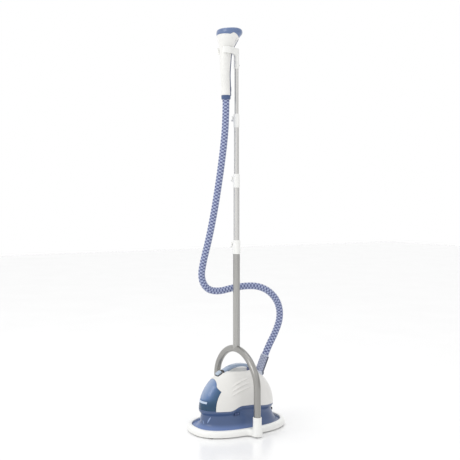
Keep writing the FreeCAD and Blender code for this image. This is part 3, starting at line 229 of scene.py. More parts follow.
# Height, half-width, half-length
HOUSING = ((0.020, 0.0995, 0.1645), (0.024, 0.096, 0.160), (0.032, 0.0895, 0.1535), (0.045, 0.083, 0.148),
           (0.057, 0.080, 0.1435), (0.070, 0.079, 0.143), (0.112, 0.079, 0.143))
FLARE_DEPTH, FLARE_LIP = 0.019, 0.004
FLARE_X, FLARE_Y = 0.0054, 0.0085
FRONT_STEEP = 0.0055
BADGE_Z = 0.1115
SCOOP_CENTRE = Vector((0, 0.005, 0.224))
SCOOP_HALF = Vector((0.036, 0.060, 0.038))
OUTLET_BASE = Vector((0, 0.098, 0.190))
OUTLET_TILT = math.radians(24.5)
OUTLET_AXIS = Vector((0, math.sin(OUTLET_TILT), math.cos(OUTLET_TILT)))
BUTTON_Y = -0.075
BUTTON_TILT = math.radians(27)

# Tank, seen from the front
TANK_BOTTOM = 0.085
TANK_HALF_X = 0.0535
TANK_SHOULDER = (0.051, 0.1505)
TANK_ARCH_R, TANK_ARCH_Z = 0.037, 0.151
TANK_SPRING = math.radians(25)
TANK_NECK_Y, TANK_BACK_Y = -0.072, -0.036
TANK_BACK_HALF_X, TANK_BACK_TOP = 0.049, 0.146
TANK_WALL = 0.0024
TANK_GAP = 0.0006

# Handset: height, half-width, half-depth, centre in Y
HANDSET = ((1.222, 0.0165, 0.0165, -0.045), (1.260, 0.0168, 0.0166, -0.0465), (1.300, 0.018, 0.017, -0.0485),
           (1.340, 0.020, 0.0195, -0.0483), (1.371, 0.0215, 0.0215, -0.0473), (1.390, 0.024, 0.0245, -0.0453),
           (1.404, 0.0295, 0.029, -0.0425), (1.416, 0.0355, 0.033, -0.0396), (1.429, 0.042, 0.0375, -0.0365),
           (1.438, 0.047, 0.0405, -0.034), (1.444, 0.0515, 0.044, -0.032), (1.450, 0.054, 0.046, -0.0307),
           (1.457, 0.0535, 0.0455, -0.0303), (1.475, 0.053, 0.045, -0.030))
HEAD_SPLIT = ((-0.120, 1.445), (-0.078, 1.4435), (-0.052, 1.4395), (-0.0435, 1.445), (-0.032, 1.4415),
              (-0.013, 1.4335), (0.008, 1.431), (0.040, 1.426))
PLATE_CENTRE = Vector((0, -0.0305, 1.4645))
PLATE_TILT = math.radians(2)
PLATE_HALF_X, PLATE_HALF_Y = 0.040, 0.030
COLLAR_BOTTOM = 1.207
CRADLE_Y = -0.0473
CRADLE_LOW, CRADLE_HIGH = 1.374, 1.398
CRADLE_R = 0.031
SPINE_HALF_X, SPINE_LIFT = 0.011, 0.003
HOOP_R = 0.0125
HOOP_SHOULDER_R, HOOP_SHOULDER_Z, HOOP_APEX_Z = 0.095, 0.168, 0.288

HOSE_R = 0.013
HOSE_ROUTE = ((0, 0.1262, 0.2519), (0, 0.1399, 0.2819), (0, 0.172, 0.331), (0.001, 0.195, 0.386),
              (0.001, 0.189, 0.441), (-0.001, 0.155, 0.487), (-0.015, 0.107, 0.513),
              (-0.035, 0.057, 0.514), (-0.054, 0.008, 0.506), (-0.070, -0.040, 0.494),
              (-0.080, -0.083, 0.505), (-0.080, -0.107, 0.549), (-0.067, -0.103, 0.612),
              (-0.048, -0.088, 0.700), (-0.028, -0.070, 0.836), (-0.008, -0.053, 1.010),
              (0, -0.045, 1.130), (0, -0.045, 1.207))


# ---------------------------------------------------------------- numbers

def hermite(table, place, column=1):
    """Smooth value of one column of a table at a place along its first column."""
    place = min(max(place, table[0][0]), table[-1][0])
    index = 0
    while index < len(table) - 2 and place > table[index + 1][0]:
        index += 1
    rows = [table[max(index - 1, 0)], table[index], table[index + 1], table[min(index + 2, len(table) - 1)]]
    width = rows[2][0] - rows[1][0]
    share = (place - rows[1][0]) / width

    def slope(before, after):
        run = after[0] - before[0]
        return (after[column] - before[column]) / run if run else 0.0

    m0 = slope(rows[0], rows[2]) * width
    m1 = slope(rows[1], rows[3]) * width
    s2, s3 = share ** 2, share ** 3
    return ((2 * s3 - 3 * s2 + 1) * rows[1][column] + (s3 - 2 * s2 + share) * m0
            + (3 * s2 - 2 * s3) * rows[2][column] + (s3 - s2) * m1)


def along_line(table, place):
    """Value of a (place, value) table between its two nearest rows."""
    for (start, low), (end, high) in zip(table, table[1:]):
        if place <= end:
            return low + (high - low) * max(place - start, 0) / (end - start)
    return table[-1][1]


def smooth(share):
    share = min(max(share, 0.0), 1.0)
    return share * share * (3 - 2 * share)


def ellipse_ring(half_x, half_y, height, count=128, centre=(0.0, 0.0), power=2.0):
    ring = []
    for i in range(count):
        turn = 2 * math.pi * i / count
        across = math.copysign(abs(math.cos(turn)) ** (2 / power), math.cos(turn))
        along = math.copysign(abs(math.sin(turn)) ** (2 / power), math.sin(turn))
        ring.append(Vector((centre[0] + half_x * across, centre[1] + half_y * along, height)))
    return ring


def rounded_outline(corners, radius, steps=6):
    """Closed 2-D outline with each corner rounded."""
    outline = []
    count = len(corners)
    for i in range(count):
        before, corner, after = (Vector(corners[(i + k) % count]) for k in (-1, 0, 1))
        into, out = (before - corner), (after - corner)
        half = into.angle(out) / 2
        reach = min(radius / math.tan(half), 0.49 * into.length, 0.49 * out.length)
        start = corner + into.normalized() * reach
        end = corner + out.normalized() * reach
        for k in range(steps + 1):
            t = k / steps
            outline.append((1 - t) ** 2 * start + 2 * t * (1 - t) * corner + t ** 2 * end)
    return outline


def offset_outline(outline, distance):
    """The closed 2-D outline moved outwards (counter-clockwise outlines) by a distance."""
    moved = []
    count = len(outline)
    for i in range(count):
        ahead, behind = outline[(i + 1) % count], outline[i - 1]
        tangent = (ahead - behind).normalized()
        moved.append(outline[i] + Vector((tangent.y, -tangent.x)) * distance)
    return moved


# ---------------------------------------------------------------- meshes

def skin(rings, loop=True, close=False, cap_low=False, cap_high=False):
    """Vertices and faces of a surface through rings of equal counts."""
    count = len(rings[0])
    points = [point for ring in rings for point in ring]
    faces = []
    rows = len(rings) if close else len(rings) - 1
    across = count if loop else count - 1
    for r in range(rows):
        low, high = r * count, ((r + 1) % len(rings)) * count
        for i in range(across):
            k = (i + 1) % count
            faces.append((low + i, low + k, high + k, high + i))
    if cap_low:
        faces.append(tuple(range(count - 1, -1, -1)))
    if cap_high:
        faces.append(tuple(range(len(points) - count, len(points))))
    return points, faces


def join(*surfaces):
    points, faces = [], []
    for some_points, some_faces in surfaces:
        start = len(points)
        points += some_points
        faces += [tuple(start + i for i in face) for face in some_faces]
    return points, faces


def lathe(profile, centre=(0, 0, 0), axis=(0, 0, 1), count=96, close=False):
    """Surface of revolution of (radius, height) points."""
    turn_to_axis = Vector((0, 0, 1)).rotation_difference(Vector(axis))
    rings = []
    for radius, height in profile:
        ring = []
        for i in range(count):
            turn = 2 * math.pi * i / count
            point = Vector((radius * math.cos(turn), radius * math.sin(turn), height))
            ring.append(Vector(centre) + turn_to_axis @ point)
        rings.append(ring)
    return skin(rings, close=close, cap_low=not close, cap_high=not close)


def soft_prism(outline, low, high, edge, place, steps=4):
    """Prism of a closed 2-D outline with both rims rounded; place puts (x, y, height) in space."""
    levels = [(low + edge * (1 - math.cos(math.pi / 2 * k / steps)),
               -edge * (1 - math.sin(math.pi / 2 * k / steps))) for k in range(steps + 1)]
    levels += [(high - (height - low), inset) for height, inset in reversed(levels)]
    rings = []
    for height, inset in levels:
        rings.append([place(Vector((p.x, p.y, height))) for p in offset_outline(outline, inset)])
    return skin(rings, cap_low=True, cap_high=True)


def new_piece(name, surface, material, body=None, slot=None, replaces=(), sharp=35.0):
    """Object from vertices and faces, shaded smooth up to an angle, riding on a body."""
    points, faces = surface
    mesh = bpy.data.meshes.new(name)
    mesh.from_pydata([tuple(point) for point in points], [], faces)
    mesh.validate()
    piece = bpy.data.objects.new(name, mesh)
    bpy.context.scene.collection.objects.link(piece)
    face_outwards(mesh)
    finish_mesh(piece, material, sharp)
    if body:
        settle(piece, body, slot, replaces)
    return piece


def face_outwards(mesh):
    work = bmesh.new()
    work.from_mesh(mesh)
    bmesh.ops.recalc_face_normals(work, faces=work.faces)
    work.to_mesh(mesh)
    work.free()


def finish_mesh(piece, material, sharp=35.0):
    mesh = piece.data
    mesh.materials.clear()
    mesh.materials.append(material)
    for polygon in mesh.polygons:
        polygon.use_smooth = True
        polygon.material_index = 0
    mesh.set_sharp_from_angle(angle=math.radians(sharp))


def settle(piece, body, slot, replaces=()):
    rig.ride(piece, body)
    if slot:
        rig.slot(piece, slot)
    if replaces:
        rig.replaces(piece, *replaces)


def carve(piece, cutter, operation="DIFFERENCE"):
    """Boolean with another object, which is then removed."""
    modifier = piece.modifiers.new("carve", "BOOLEAN")
    modifier.operation = operation
    modifier.solver = "EXACT"
    modifier.object = cutter
    shaped = piece.evaluated_get(bpy.context.evaluated_depsgraph_get())
    mesh = bpy.data.meshes.new_from_object(shaped)
    piece.modifiers.clear()
    piece.data = mesh
    bpy.data.objects.remove(cutter)


# ---------------------------------------------------------------- materials

def blank_material(name):
    material = bpy.data.materials.new(name)
    material.use_nodes = True
    tree = material.node_tree
    shader = tree.nodes["Principled BSDF"]
    return material, tree, shader


def add(tree, kind, **values):
    node = tree.nodes.new(kind)
    for key, value in values.items():
        setattr(node, key, value)
    return node


def noise(tree, scale, detail=3.0, stretch=(1, 1, 1)):
    where = add(tree, "ShaderNodeTexCoord")
    mapping = add(tree, "ShaderNodeMapping")
    mapping.inputs["Scale"].default_value = stretch
    tree.links.new(where.outputs["Object"], mapping.inputs["Vector"])
    texture = add(tree, "ShaderNodeTexNoise")
    texture.inputs["Scale"].default_value = scale
    texture.inputs["Detail"].default_value = detail
    tree.links.new(mapping.outputs["Vector"], texture.inputs["Vector"])
    return texture


def ramp(tree, source, stops):
    node = add(tree, "ShaderNodeValToRGB")
    elements = node.color_ramp.elements
    elements[0].position, elements[0].color = stops[0][0], (*stops[0][1], 1)
    elements[1].position, elements[1].color = stops[-1][0], (*stops[-1][1], 1)
    for position, colour in stops[1:-1]:
        elements.new(position).color = (*colour, 1)
    tree.links.new(source, node.inputs["Fac"])
    return node.outputs["Color"]


def spread(tree, source, low, high):
    node = add(tree, "ShaderNodeMapRange")
    node.inputs["To Min"].default_value = low
    node.inputs["To Max"].default_value = high
    tree.links.new(source, node.inputs["Value"])
    return node.outputs["Result"]


def relief(tree, shader, source, depth, strength=0.4, edge=0.0):
    bump = add(tree, "ShaderNodeBump")
    bump.inputs["Distance"].default_value = depth
    bump.inputs["Strength"].default_value = strength
    tree.links.new(source, bump.inputs["Height"])
    if edge:
        bevel = add(tree, "ShaderNodeBevel", samples=6)
        bevel.inputs["Radius"].default_value = edge
        tree.links.new(bevel.outputs["Normal"], bump.inputs["Normal"])
    tree.links.new(bump.outputs["Normal"], shader.inputs["Normal"])


def scaled(colour, factor):
    return tuple(min(channel * factor, 1.0) for channel in colour)


def moulded(name, colour, roughness=0.32, grain=0.00004, coat=0.15, edge=0.0):
    """Moulded plastic: faint tone drift, fine grain and uneven gloss."""
    material, tree, shader = blank_material(name)
    drift = noise(tree, 14, 2)
    tone = ramp(tree, drift.outputs["Fac"], ((0.3, scaled(colour, 0.965)), (0.7, scaled(colour, 1.02))))
    tree.links.new(tone, shader.inputs["Base Color"])
    fine = noise(tree, 900, 2)
    tree.links.new(spread(tree, fine.outputs["Fac"], roughness - 0.05, roughness + 0.07),
                   shader.inputs["Roughness"])
    shader.inputs["Coat Weight"].default_value = coat
    shader.inputs["Coat Roughness"].default_value = 0.15
    relief(tree, shader, fine.outputs["Fac"], grain, 0.25, edge)
    return material


def satin_metal(name, colour, roughness, stretch=(700, 700, 9), depth=0.00003):
    """Drawn and anodised tube: streaks along its length."""
    material, tree, shader = blank_material(name)
    streaks = noise(tree, 1.0, 4, stretch)
    tone = ramp(tree, streaks.outputs["Fac"], ((0.25, scaled(colour, 0.88)), (0.75, scaled(colour, 1.08))))
    tree.links.new(tone, shader.inputs["Base Color"])
    tree.links.new(spread(tree, streaks.outputs["Fac"], roughness - 0.07, roughness + 0.09),
                   shader.inputs["Roughness"])
    shader.inputs["Metallic"].default_value = 0.85
    shader.inputs["Anisotropic"].default_value = 0.3
    relief(tree, shader, streaks.outputs["Fac"], depth, 0.3)
    return material


def metal(name, colour, roughness, grain=220, depth=0.00008):
    material, tree, shader = blank_material(name)
    cast = noise(tree, grain, 4)
    tone = ramp(tree, cast.outputs["Fac"], ((0.3, scaled(colour, 0.85)), (0.7, scaled(colour, 1.1))))
    tree.links.new(tone, shader.inputs["Base Color"])
    tree.links.new(spread(tree, cast.outputs["Fac"], roughness - 0.08, roughness + 0.1),
                   shader.inputs["Roughness"])
    shader.inputs["Metallic"].default_value = 1.0
    relief(tree, shader, cast.outputs["Fac"], depth, 0.4)
    return material


def rubber(name, colour):
    material, tree, shader = blank_material(name)
    fine = noise(tree, 600, 4)
    tone = ramp(tree, fine.outputs["Fac"], ((0.3, scaled(colour, 0.7)), (0.7, scaled(colour, 1.4))))
    tree.links.new(tone, shader.inputs["Base Color"])
    shader.inputs["Roughness"].default_value = 0.75
    relief(tree, shader, fine.outputs["Fac"], 0.0001, 0.5)
    return material


def height_share(tree, low, high):
    """0 at one height of the object and 1 at another."""
    where = add(tree, "ShaderNodeTexCoord")
    split = add(tree, "ShaderNodeSeparateXYZ")
    tree.links.new(where.outputs["Object"], split.inputs["Vector"])
    node = add(tree, "ShaderNodeMapRange")
    node.inputs["From Min"].default_value = low
    node.inputs["From Max"].default_value = high
    tree.links.new(split.outputs["Z"], node.inputs["Value"])
    return node.outputs["Result"]


def tinted_clear_painted_light(name):
    """Clear blue tank with painted light and shade over its own blue: painted shade deep at the foot and towards the
    rear and sides, painted light pale at the front and crown.
    """
    material, tree, shader = blank_material(name)
    height = height_share(tree, TANK_BOTTOM, TANK_ARCH_Z + TANK_ARCH_R)
    where = add(tree, "ShaderNodeTexCoord")
    split = add(tree, "ShaderNodeSeparateXYZ")
    tree.links.new(where.outputs["Object"], split.inputs["Vector"])
    front = add(tree, "ShaderNodeMapRange")
    front.inputs["From Min"].default_value = -0.060
    front.inputs["From Max"].default_value = -0.145
    aside = maths(tree, "MULTIPLY", maths(tree, "ABSOLUTE", split.outputs["X"]), 0.6)
    tree.links.new(maths(tree, "ADD", split.outputs["Y"], aside), front.inputs["Value"])
    both = maths(tree, "ADD", maths(tree, "MULTIPLY", height, 0.55),
                 maths(tree, "MULTIPLY", front.outputs["Result"], 0.55))
    upper = soft_step(tree, height, 0.04, 0.42)
    share = maths(tree, "MULTIPLY", both, upper)
    # Painted light and shade: dark blue low down and at the rear, pale at the front and crown
    tone = ramp(tree, share, ((0.0, (0.012, 0.072, 0.160)), (0.14, (0.014, 0.076, 0.168)),
                              (0.36, (0.036, 0.110, 0.225)), (0.50, (0.075, 0.165, 0.335)),
                              (0.64, (0.170, 0.285, 0.540)), (0.80, (0.380, 0.485, 0.700)),
                              (1.0, (0.660, 0.740, 0.880))))
    tree.links.new(tone, shader.inputs["Base Color"])
    fine = noise(tree, 60, 2)
    tree.links.new(spread(tree, fine.outputs["Fac"], 0.08, 0.16), shader.inputs["Roughness"])
    shader.inputs["Transmission Weight"].default_value = 0.30
    shader.inputs["IOR"].default_value = 1.45
    shader.inputs["Coat Weight"].default_value = 0.15
    shader.inputs["Coat Roughness"].default_value = 0.06
    relief(tree, shader, fine.outputs["Fac"], 0.0001, 0.15, 0.0008)
    return material


def maths(tree, operation, first, second=None):
    node = add(tree, "ShaderNodeMath", operation=operation)
    for socket, value in zip(node.inputs, (first, second)):
        if value is None:
            continue
        if isinstance(value, (int, float)):
            socket.default_value = value
        else:
            tree.links.new(value, socket)
    return node.outputs["Value"]


def braided(name, dark, light, around, pitch, threshold=0.1, roughness=0.6):
    """Braid over a hose: light lozenges on dark yarn, with the yarn's own twill."""
    material, tree, shader = blank_material(name)
    where = add(tree, "ShaderNodeTexCoord")
    split = add(tree, "ShaderNodeSeparateXYZ")
    tree.links.new(where.outputs["UV"], split.inputs["Vector"])
    turn = maths(tree, "MULTIPLY", split.outputs["X"], 2 * math.pi * around)
    along = maths(tree, "MULTIPLY", split.outputs["Y"], 2 * math.pi / pitch)
    lozenge = maths(tree, "MULTIPLY", maths(tree, "COSINE", turn), maths(tree, "COSINE", along))
    yarn_turn = maths(tree, "MULTIPLY", split.outputs["X"], 2 * math.pi * around * 8)
    yarn_along = maths(tree, "MULTIPLY", split.outputs["Y"], 2 * math.pi * 8 / pitch)
    yarn = maths(tree, "MULTIPLY", maths(tree, "COSINE", yarn_turn), maths(tree, "COSINE", yarn_along))
    fleck = noise(tree, 1400, 2)
    mixed = maths(tree, "ADD", lozenge, maths(tree, "MULTIPLY", yarn, 0.22))
    mixed = maths(tree, "ADD", mixed, maths(tree, "MULTIPLY", fleck.outputs["Fac"], 0.25))
    between = tuple((a + b) / 2 for a, b in zip(dark, light))
    tone = ramp(tree, mixed, ((0.0, dark), (threshold + 0.10, scaled(dark, 1.25)),
                              (threshold + 0.22, between), (threshold + 0.42, light)))
    tree.links.new(tone, shader.inputs["Base Color"])
    shader.inputs["Roughness"].default_value = roughness
    shader.inputs["Sheen Weight"].default_value = 0.3
    shader.inputs["Sheen Roughness"].default_value = 0.4
    relief(tree, shader, yarn, 0.0003, 0.6)
    return material


def soft_step(tree, source, low, high):
    """0 below one value, 1 above another, smooth between."""
    node = add(tree, "ShaderNodeMapRange", interpolation_type="SMOOTHSTEP")
    node.inputs["From Min"].default_value = low
    node.inputs["From Max"].default_value = high
    tree.links.new(source, node.inputs["Value"])
    return node.outputs["Result"]


def repainted(material, colour, bounds):
    """Gives a material another tone between the bounds: (axis, from, to) each, with |x| as axis "X"."""
    tree = material.node_tree
    shader = tree.nodes["Principled BSDF"]
    where = add(tree, "ShaderNodeTexCoord")
    split = add(tree, "ShaderNodeSeparateXYZ")
    tree.links.new(where.outputs["Object"], split.inputs["Vector"])
    mask = None
    for axis, start, end in bounds:
        source = split.outputs[axis]
        if axis == "X":
            source = maths(tree, "ABSOLUTE", source)
        share = soft_step(tree, source, min(start, end), max(start, end))
        if start > end:
            share = maths(tree, "SUBTRACT", 1.0, share)
        mask = share if mask is None else maths(tree, "MULTIPLY", mask, share)
    tone = add(tree, "ShaderNodeMix", data_type="RGBA")
    base = shader.inputs["Base Color"]
    before = base.links[0].from_socket
    tree.links.new(mask, tone.inputs[0])
    tree.links.new(before, tone.inputs[6])
    tone.inputs[7].default_value = (*colour, 1)
    tree.links.new(tone.outputs[2], base)
    return material


HOSE_PITCH, CUFF_PITCH = 0.0122, 0.0104
WHITE = moulded("white_moulded", (0.84, 0.835, 0.81), 0.30, coat=0.25)
WHITE_EDGED = moulded("white_moulded_edged", (0.80, 0.79, 0.76), 0.30, coat=0.25, edge=0.0009)
DOME_WHITE = repainted(moulded("dome_white", (0.80, 0.79, 0.76), 0.30, coat=0.25, edge=0.0009),
                       (0.075, 0.130, 0.275),
                       (("X", TANK_HALF_X + 0.0008, TANK_HALF_X + 0.0004), ("Y", -0.060, -0.061),
                        ("Z", TANK_BOTTOM + 0.0006, TANK_BOTTOM + 0.0002)))
FRAME_WHITE = moulded("frame_white", (0.91, 0.91, 0.885), 0.28, coat=0.3)
# Painted light: the blue moulding turns lighter low down at the front, on the tray and the housing's foot
BLUE = repainted(moulded("blue_moulded", (0.062, 0.108, 0.235), 0.32, coat=0.25), (0.125, 0.205, 0.440),
                 (("Z", 0.040, 0.022), ("Y", 0.060, -0.060)))
CAP_BLUE = moulded("cap_blue_moulded", (0.120, 0.180, 0.340), 0.30, coat=0.4)
STEEL_BLUE = moulded("steel_blue_moulded", (0.29, 0.37, 0.50), 0.26, coat=0.6)
KNOB_BLUE = moulded("knob_blue_moulded", (0.46, 0.55, 0.66), 0.24, coat=0.6)
# Darker copy of the handle's blue for its foot: painted shade
FOOT_SHADED_BLUE = moulded("foot_blue_painted_shade", (0.12, 0.15, 0.33), 0.36)
# Pale blue for the grip edges: a painted highlight
GRIP_HIGHLIGHT_BLUE = moulded("grip_edge_painted_highlight", (0.30, 0.40, 0.64), 0.30, coat=0.4)
PALE_BADGE = moulded("pale_badge", (0.52, 0.61, 0.76), 0.34, coat=0.3)
DARK_BLUE = moulded("dark_blue_moulded", (0.055, 0.085, 0.20), 0.45, coat=0.0)
BLACK = moulded("black_moulded", (0.018, 0.018, 0.022), 0.45, coat=0.0)
# Clear blue tank with its light and shade painted into its colour
TANK = tinted_clear_painted_light("clear_blue_tank")
TUBE = satin_metal("satin_tube", (0.45, 0.445, 0.43), 0.28)
HOOP_TUBE = satin_metal("hoop_satin_tube", (0.36, 0.355, 0.34), 0.30)
TOP_TUBE = satin_metal("top_satin_tube", (0.70, 0.695, 0.675), 0.32)
RUBBER = rubber("black_rubber", (0.02, 0.02, 0.02))
STEEL = metal("plain_steel", (0.55, 0.55, 0.55), 0.35)
CAST = metal("cast_aluminium", (0.66, 0.66, 0.66), 0.5, 300, 0.0002)
SILICONE = moulded("silicone", (0.66, 0.64, 0.58), 0.5, coat=0.0)
BRAID = braided("hose_braid", (0.105, 0.125, 0.280), (0.44, 0.50, 0.68), 4, HOSE_PITCH, -0.06)
DARK_SPINE = moulded("spine_moulded", (0.060, 0.085, 0.21), 0.36, coat=0.2)
# Grey for the head's groove strips: painted shade
GROOVE_SHADE_GREY = moulded("groove_painted_shade", (0.30, 0.31, 0.34), 0.5, coat=0.0)
# Dark tone for the strip down the cuff: painted shade
CUFF_SHADE_STRIP = moulded("cuff_strip_painted_shade", (0.085, 0.095, 0.15), 0.45, coat=0.0)
CUFF_RIM = moulded("cuff_rim", (0.55, 0.59, 0.68), 0.45, coat=0.0)
CUFF_BRAID = braided("cuff_braid", (0.27, 0.30, 0.44), (0.60, 0.64, 0.74), 6, CUFF_PITCH, -0.42)

CAD_MATERIALS = {
    STEEL: ("base_screws", "handle_screws", "hoop_screws", "release_spring", "lever_pin_1", "lever_pin_2",
            "lever_pin_3", "bracket_screw", "pole_spigot", "heating_element", "thermal_fuse"),
    CAST: ("boiler_body", "boiler_lid", "steam_plate"),
    DOME_WHITE: ("upper_housing",),
    TANK: ("water_tank",),
    SILICONE: ("water_tube", "steam_tube", "steam_duct"),
    BLACK: ("valve_port", "terminal_block", "pole_bush_2", "pole_bush_3", "pole_bush_4", "hoop_plugs",
            "tank_valve", "thermostat"),
    DARK_BLUE: ("tank_cap",),
}


def paint_cad_nodes():
    for material, names in CAD_MATERIALS.items():
        for name in names:
            mesh = nodes[name].data
            mesh.materials.clear()
            mesh.materials.append(material)


# ---------------------------------------------------------------- stand

def superellipse(half_x, half_y, turn, power=RING_POWER):
    """Point of the oval in the direction turn from its centre."""
    across, along = math.cos(turn), math.sin(turn)
    reach = (abs(across / half_x) ** power + abs(along / half_y) ** power) ** (-1 / power)
    return Vector((reach * across, reach * along))


def ring_outline():
    """Outside of the stand ring with a lobe round each leg, faired in by hollow arcs."""
    edge_x = RING_HALF_X + RING_RIM - 0.0008
    fairing = Vector((edge_x + FAIRING_R, 0))
    fairing.y = math.sqrt((LOBE_R + FAIRING_R) ** 2 - (fairing.x - LEG_X) ** 2)
    lobe = Vector((LEG_X, 0))
    towards = (fairing - lobe).normalized()
    touch_turn = math.atan2(towards.y, towards.x)
    quarter = []
    for k in range(12):
        turn = touch_turn * k / 12
        quarter.append(lobe + LOBE_R * Vector((math.cos(turn), math.sin(turn))))
    for k in range(10):
        turn = (touch_turn + math.pi) + (math.pi - (touch_turn + math.pi)) * k / 10
        quarter.append(fairing + FAIRING_R * Vector((math.cos(turn), math.sin(turn))))
    start = math.atan2(fairing.y, edge_x)
    for k in range(64):
        turn = start + (math.pi / 2 - start) * k / 64
        quarter.append(superellipse(RING_HALF_X + RING_RIM, RING_HALF_Y + RING_RIM, turn))
    top = [superellipse(RING_HALF_X + RING_RIM, RING_HALF_Y + RING_RIM, math.pi / 2)]
    left = [Vector((-p.x, p.y)) for p in reversed(quarter)]
    upper = quarter + top + left
    lower = [Vector((p.x, -p.y)) for p in reversed(upper[1:-1])]
    return upper + lower


def make_ring():
    outline = ring_outline()
    outer_levels = ((0.0030, 0.0030), (0.0033, 0.0016), (0.0046, 0.0006), (0.0070, 0.0), (0.0130, 0.0),
                    (0.0165, 0.0003), (0.0198, 0.0012), (0.0225, 0.0028), (0.0246, 0.0052),
                    (0.0257, 0.0078), (0.0260, 0.0102))
    inner_levels = ((0.0260, 0.0022), (0.0256, 0.0009), (0.0247, 0.0001), (0.0230, 0.0),
                    (TRAY_LEDGE, 0.0), (TRAY_LEDGE, -0.004), (0.0030, -0.004))
    rings = []
    for height, inset in outer_levels:
        rings.append([Vector((p.x, p.y, height)) for p in offset_outline(outline, -inset)])
    for height, outset in inner_levels:
        ring = []
        for p in outline:
            q = superellipse(RING_HALF_X + outset, RING_HALF_Y + outset, math.atan2(p.y, p.x))
            ring.append(Vector((q.x, q.y, height)))
        rings.append(ring)
    profile = ((0.0120, 0.0100), (0.0182, 0.0160), (0.0178, 0.0210), (0.0168, 0.0260), (0.0161, 0.0320),
               (0.0157, 0.0400), (SOCKET_R, 0.0480), (SOCKET_R, 0.0680), (0.0153, 0.0690),
               (0.0149, 0.0696), (0.0142, SOCKET_TOP), (0.0131, SOCKET_TOP), (0.01262, 0.0694),
               (0.01255, 0.0600), (0.0120, 0.0600))
    sockets = [lathe(profile, (side * LEG_X, 0, 0)) for side in (-1, 1)]
    new_piece("ring_stand", join(skin(rings, close=True), *sockets), FRAME_WHITE, STAND, "white_plastic",
              ("base_ring",))


def make_tray():
    rings = []
    side = 0.0004
    for height, inset in ((TRAY_LEDGE + 0.0005, side), (0.0178, side), (0.0192, side + 0.0005),
                          (TRAY_TOP, side + 0.0018), (TRAY_TOP, 0.0200), (0.0196, 0.0205)):
        ring = []
        for i in range(256):
            p = superellipse(RING_HALF_X - inset, RING_HALF_Y - inset, 2 * math.pi * i / 256)
            ring.append(Vector((p.x, p.y, height)))
        rings.append(ring)
    new_piece("tray", skin(rings, cap_low=True, cap_high=True), BLUE, STAND, "blue_plastic",
              ("base_tray",))


def make_feet():
    low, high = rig.box("rubber_feet")
    feet = []
    angles = [math.radians(degrees) for degrees in (52, 128, 232, 308)]
    spots = []
    for turn in angles:
        across = math.copysign(abs(math.cos(turn)) ** (2 / RING_POWER), math.cos(turn))
        along = math.copysign(abs(math.sin(turn)) ** (2 / RING_POWER), math.sin(turn))
        spots.append((0.113 * across, 0.178 * along, 0.007))
    spots += [(LEG_X, 0, 0.0105), (-LEG_X, 0, 0.0105)]
    for x, y, radius in spots:
        profile = ((radius - 0.0012, low.z), (radius - 0.0004, 0.0003), (radius, 0.0011),
                   (radius, high.z + 0.0004))
        feet.append(lathe(profile, (x, y, 0), count=40))
    new_piece("feet", join(*feet), RUBBER, STAND, "rubber_black", ("rubber_feet",))


# ---------------------------------------------------------------- body

def dome_height(y, x=0.0):
    inside = 1 - (y / DOME_HALF.y) ** 2 - (x / DOME_HALF.x) ** 2
    return DOME_BASE + DOME_HALF.z * math.sqrt(max(inside, 0.0))


def dome_side(y, z, lift=0.0):
    """Point of the dome's +X side at a place in the side view."""
    inside = 1 - (y / DOME_HALF.y) ** 2 - ((z - DOME_BASE) / DOME_HALF.z) ** 2
    point = Vector((DOME_HALF.x * math.sqrt(max(inside, 0.0)), y, z))
    normal = Vector((point.x / DOME_HALF.x ** 2, y / DOME_HALF.y ** 2, (z - DOME_BASE) / DOME_HALF.z ** 2))
    return point + normal.normalized() * lift


def housing_ring(share, inset, count=224):
    ring = []
    for i in range(count):
        turn = 2 * math.pi * i / count
        top = hermite(SEAM, 0.150 * math.sin(turn)) - SEAM_GAP
        z = HOUSING[0][0] + (top - HOUSING[0][0]) * share
        flare = 1 - smooth((top - z - FLARE_LIP) / (FLARE_DEPTH - FLARE_LIP))
        steep = FRONT_STEEP * smooth(-math.sin(turn)) * smooth((z - 0.020) / 0.012) * smooth((0.057 - z) / 0.022)
        half_x = hermite(HOUSING, z, 1) + FLARE_X * flare - inset
        half_y = hermite(HOUSING, z, 2) + FLARE_Y * flare - inset - steep
        ring.append(Vector((half_x * math.cos(turn), half_y * math.sin(turn), z)))
    return ring


def make_lower_housing():
    levels = [k / 44 for k in range(45)]
    outside = [housing_ring(share, 0.0) for share in levels]
    lip = [[p + Vector((0, 0, -0.0002)) for p in housing_ring(1.0, 0.0010)]]
    inside = [housing_ring(share, 0.0030) for share in reversed(levels)]
    shell = new_piece("housing_skirt", skin(outside + lip + inside, close=True), BLUE)
    low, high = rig.box("switch_body")
    margin = 0.0003
    corners = [(low.y - margin, low.z - margin), (high.y + margin, low.z - margin),
               (high.y + margin, high.z + margin), (low.y - margin, high.z + margin)]
    hole = soft_prism([Vector(c) for c in corners], low.x - 0.004, high.x + 0.02, 0.0001,
                      lambda p: Vector((p.z, p.x, p.y)))
    carve(shell, new_piece("switch_hole", hole, BLUE))
    finish_mesh(shell, BLUE)
    settle(shell, STAND, "blue_plastic", ("lower_housing",))

    deck = []
    for k in range(61):
        turn = math.pi + math.pi * k / 60
        deck.append(Vector((0.0765 * math.cos(turn), 0.1405 * math.sin(turn))))
    deck = [p for p in deck if p.y < -0.010] + [Vector((0.0760, -0.010)), Vector((-0.0760, -0.010))]
    new_piece("tank_deck", soft_prism(deck, 0.0785, 0.0809, 0.0005, lambda p: p), BLUE, STAND,
              "blue_plastic")


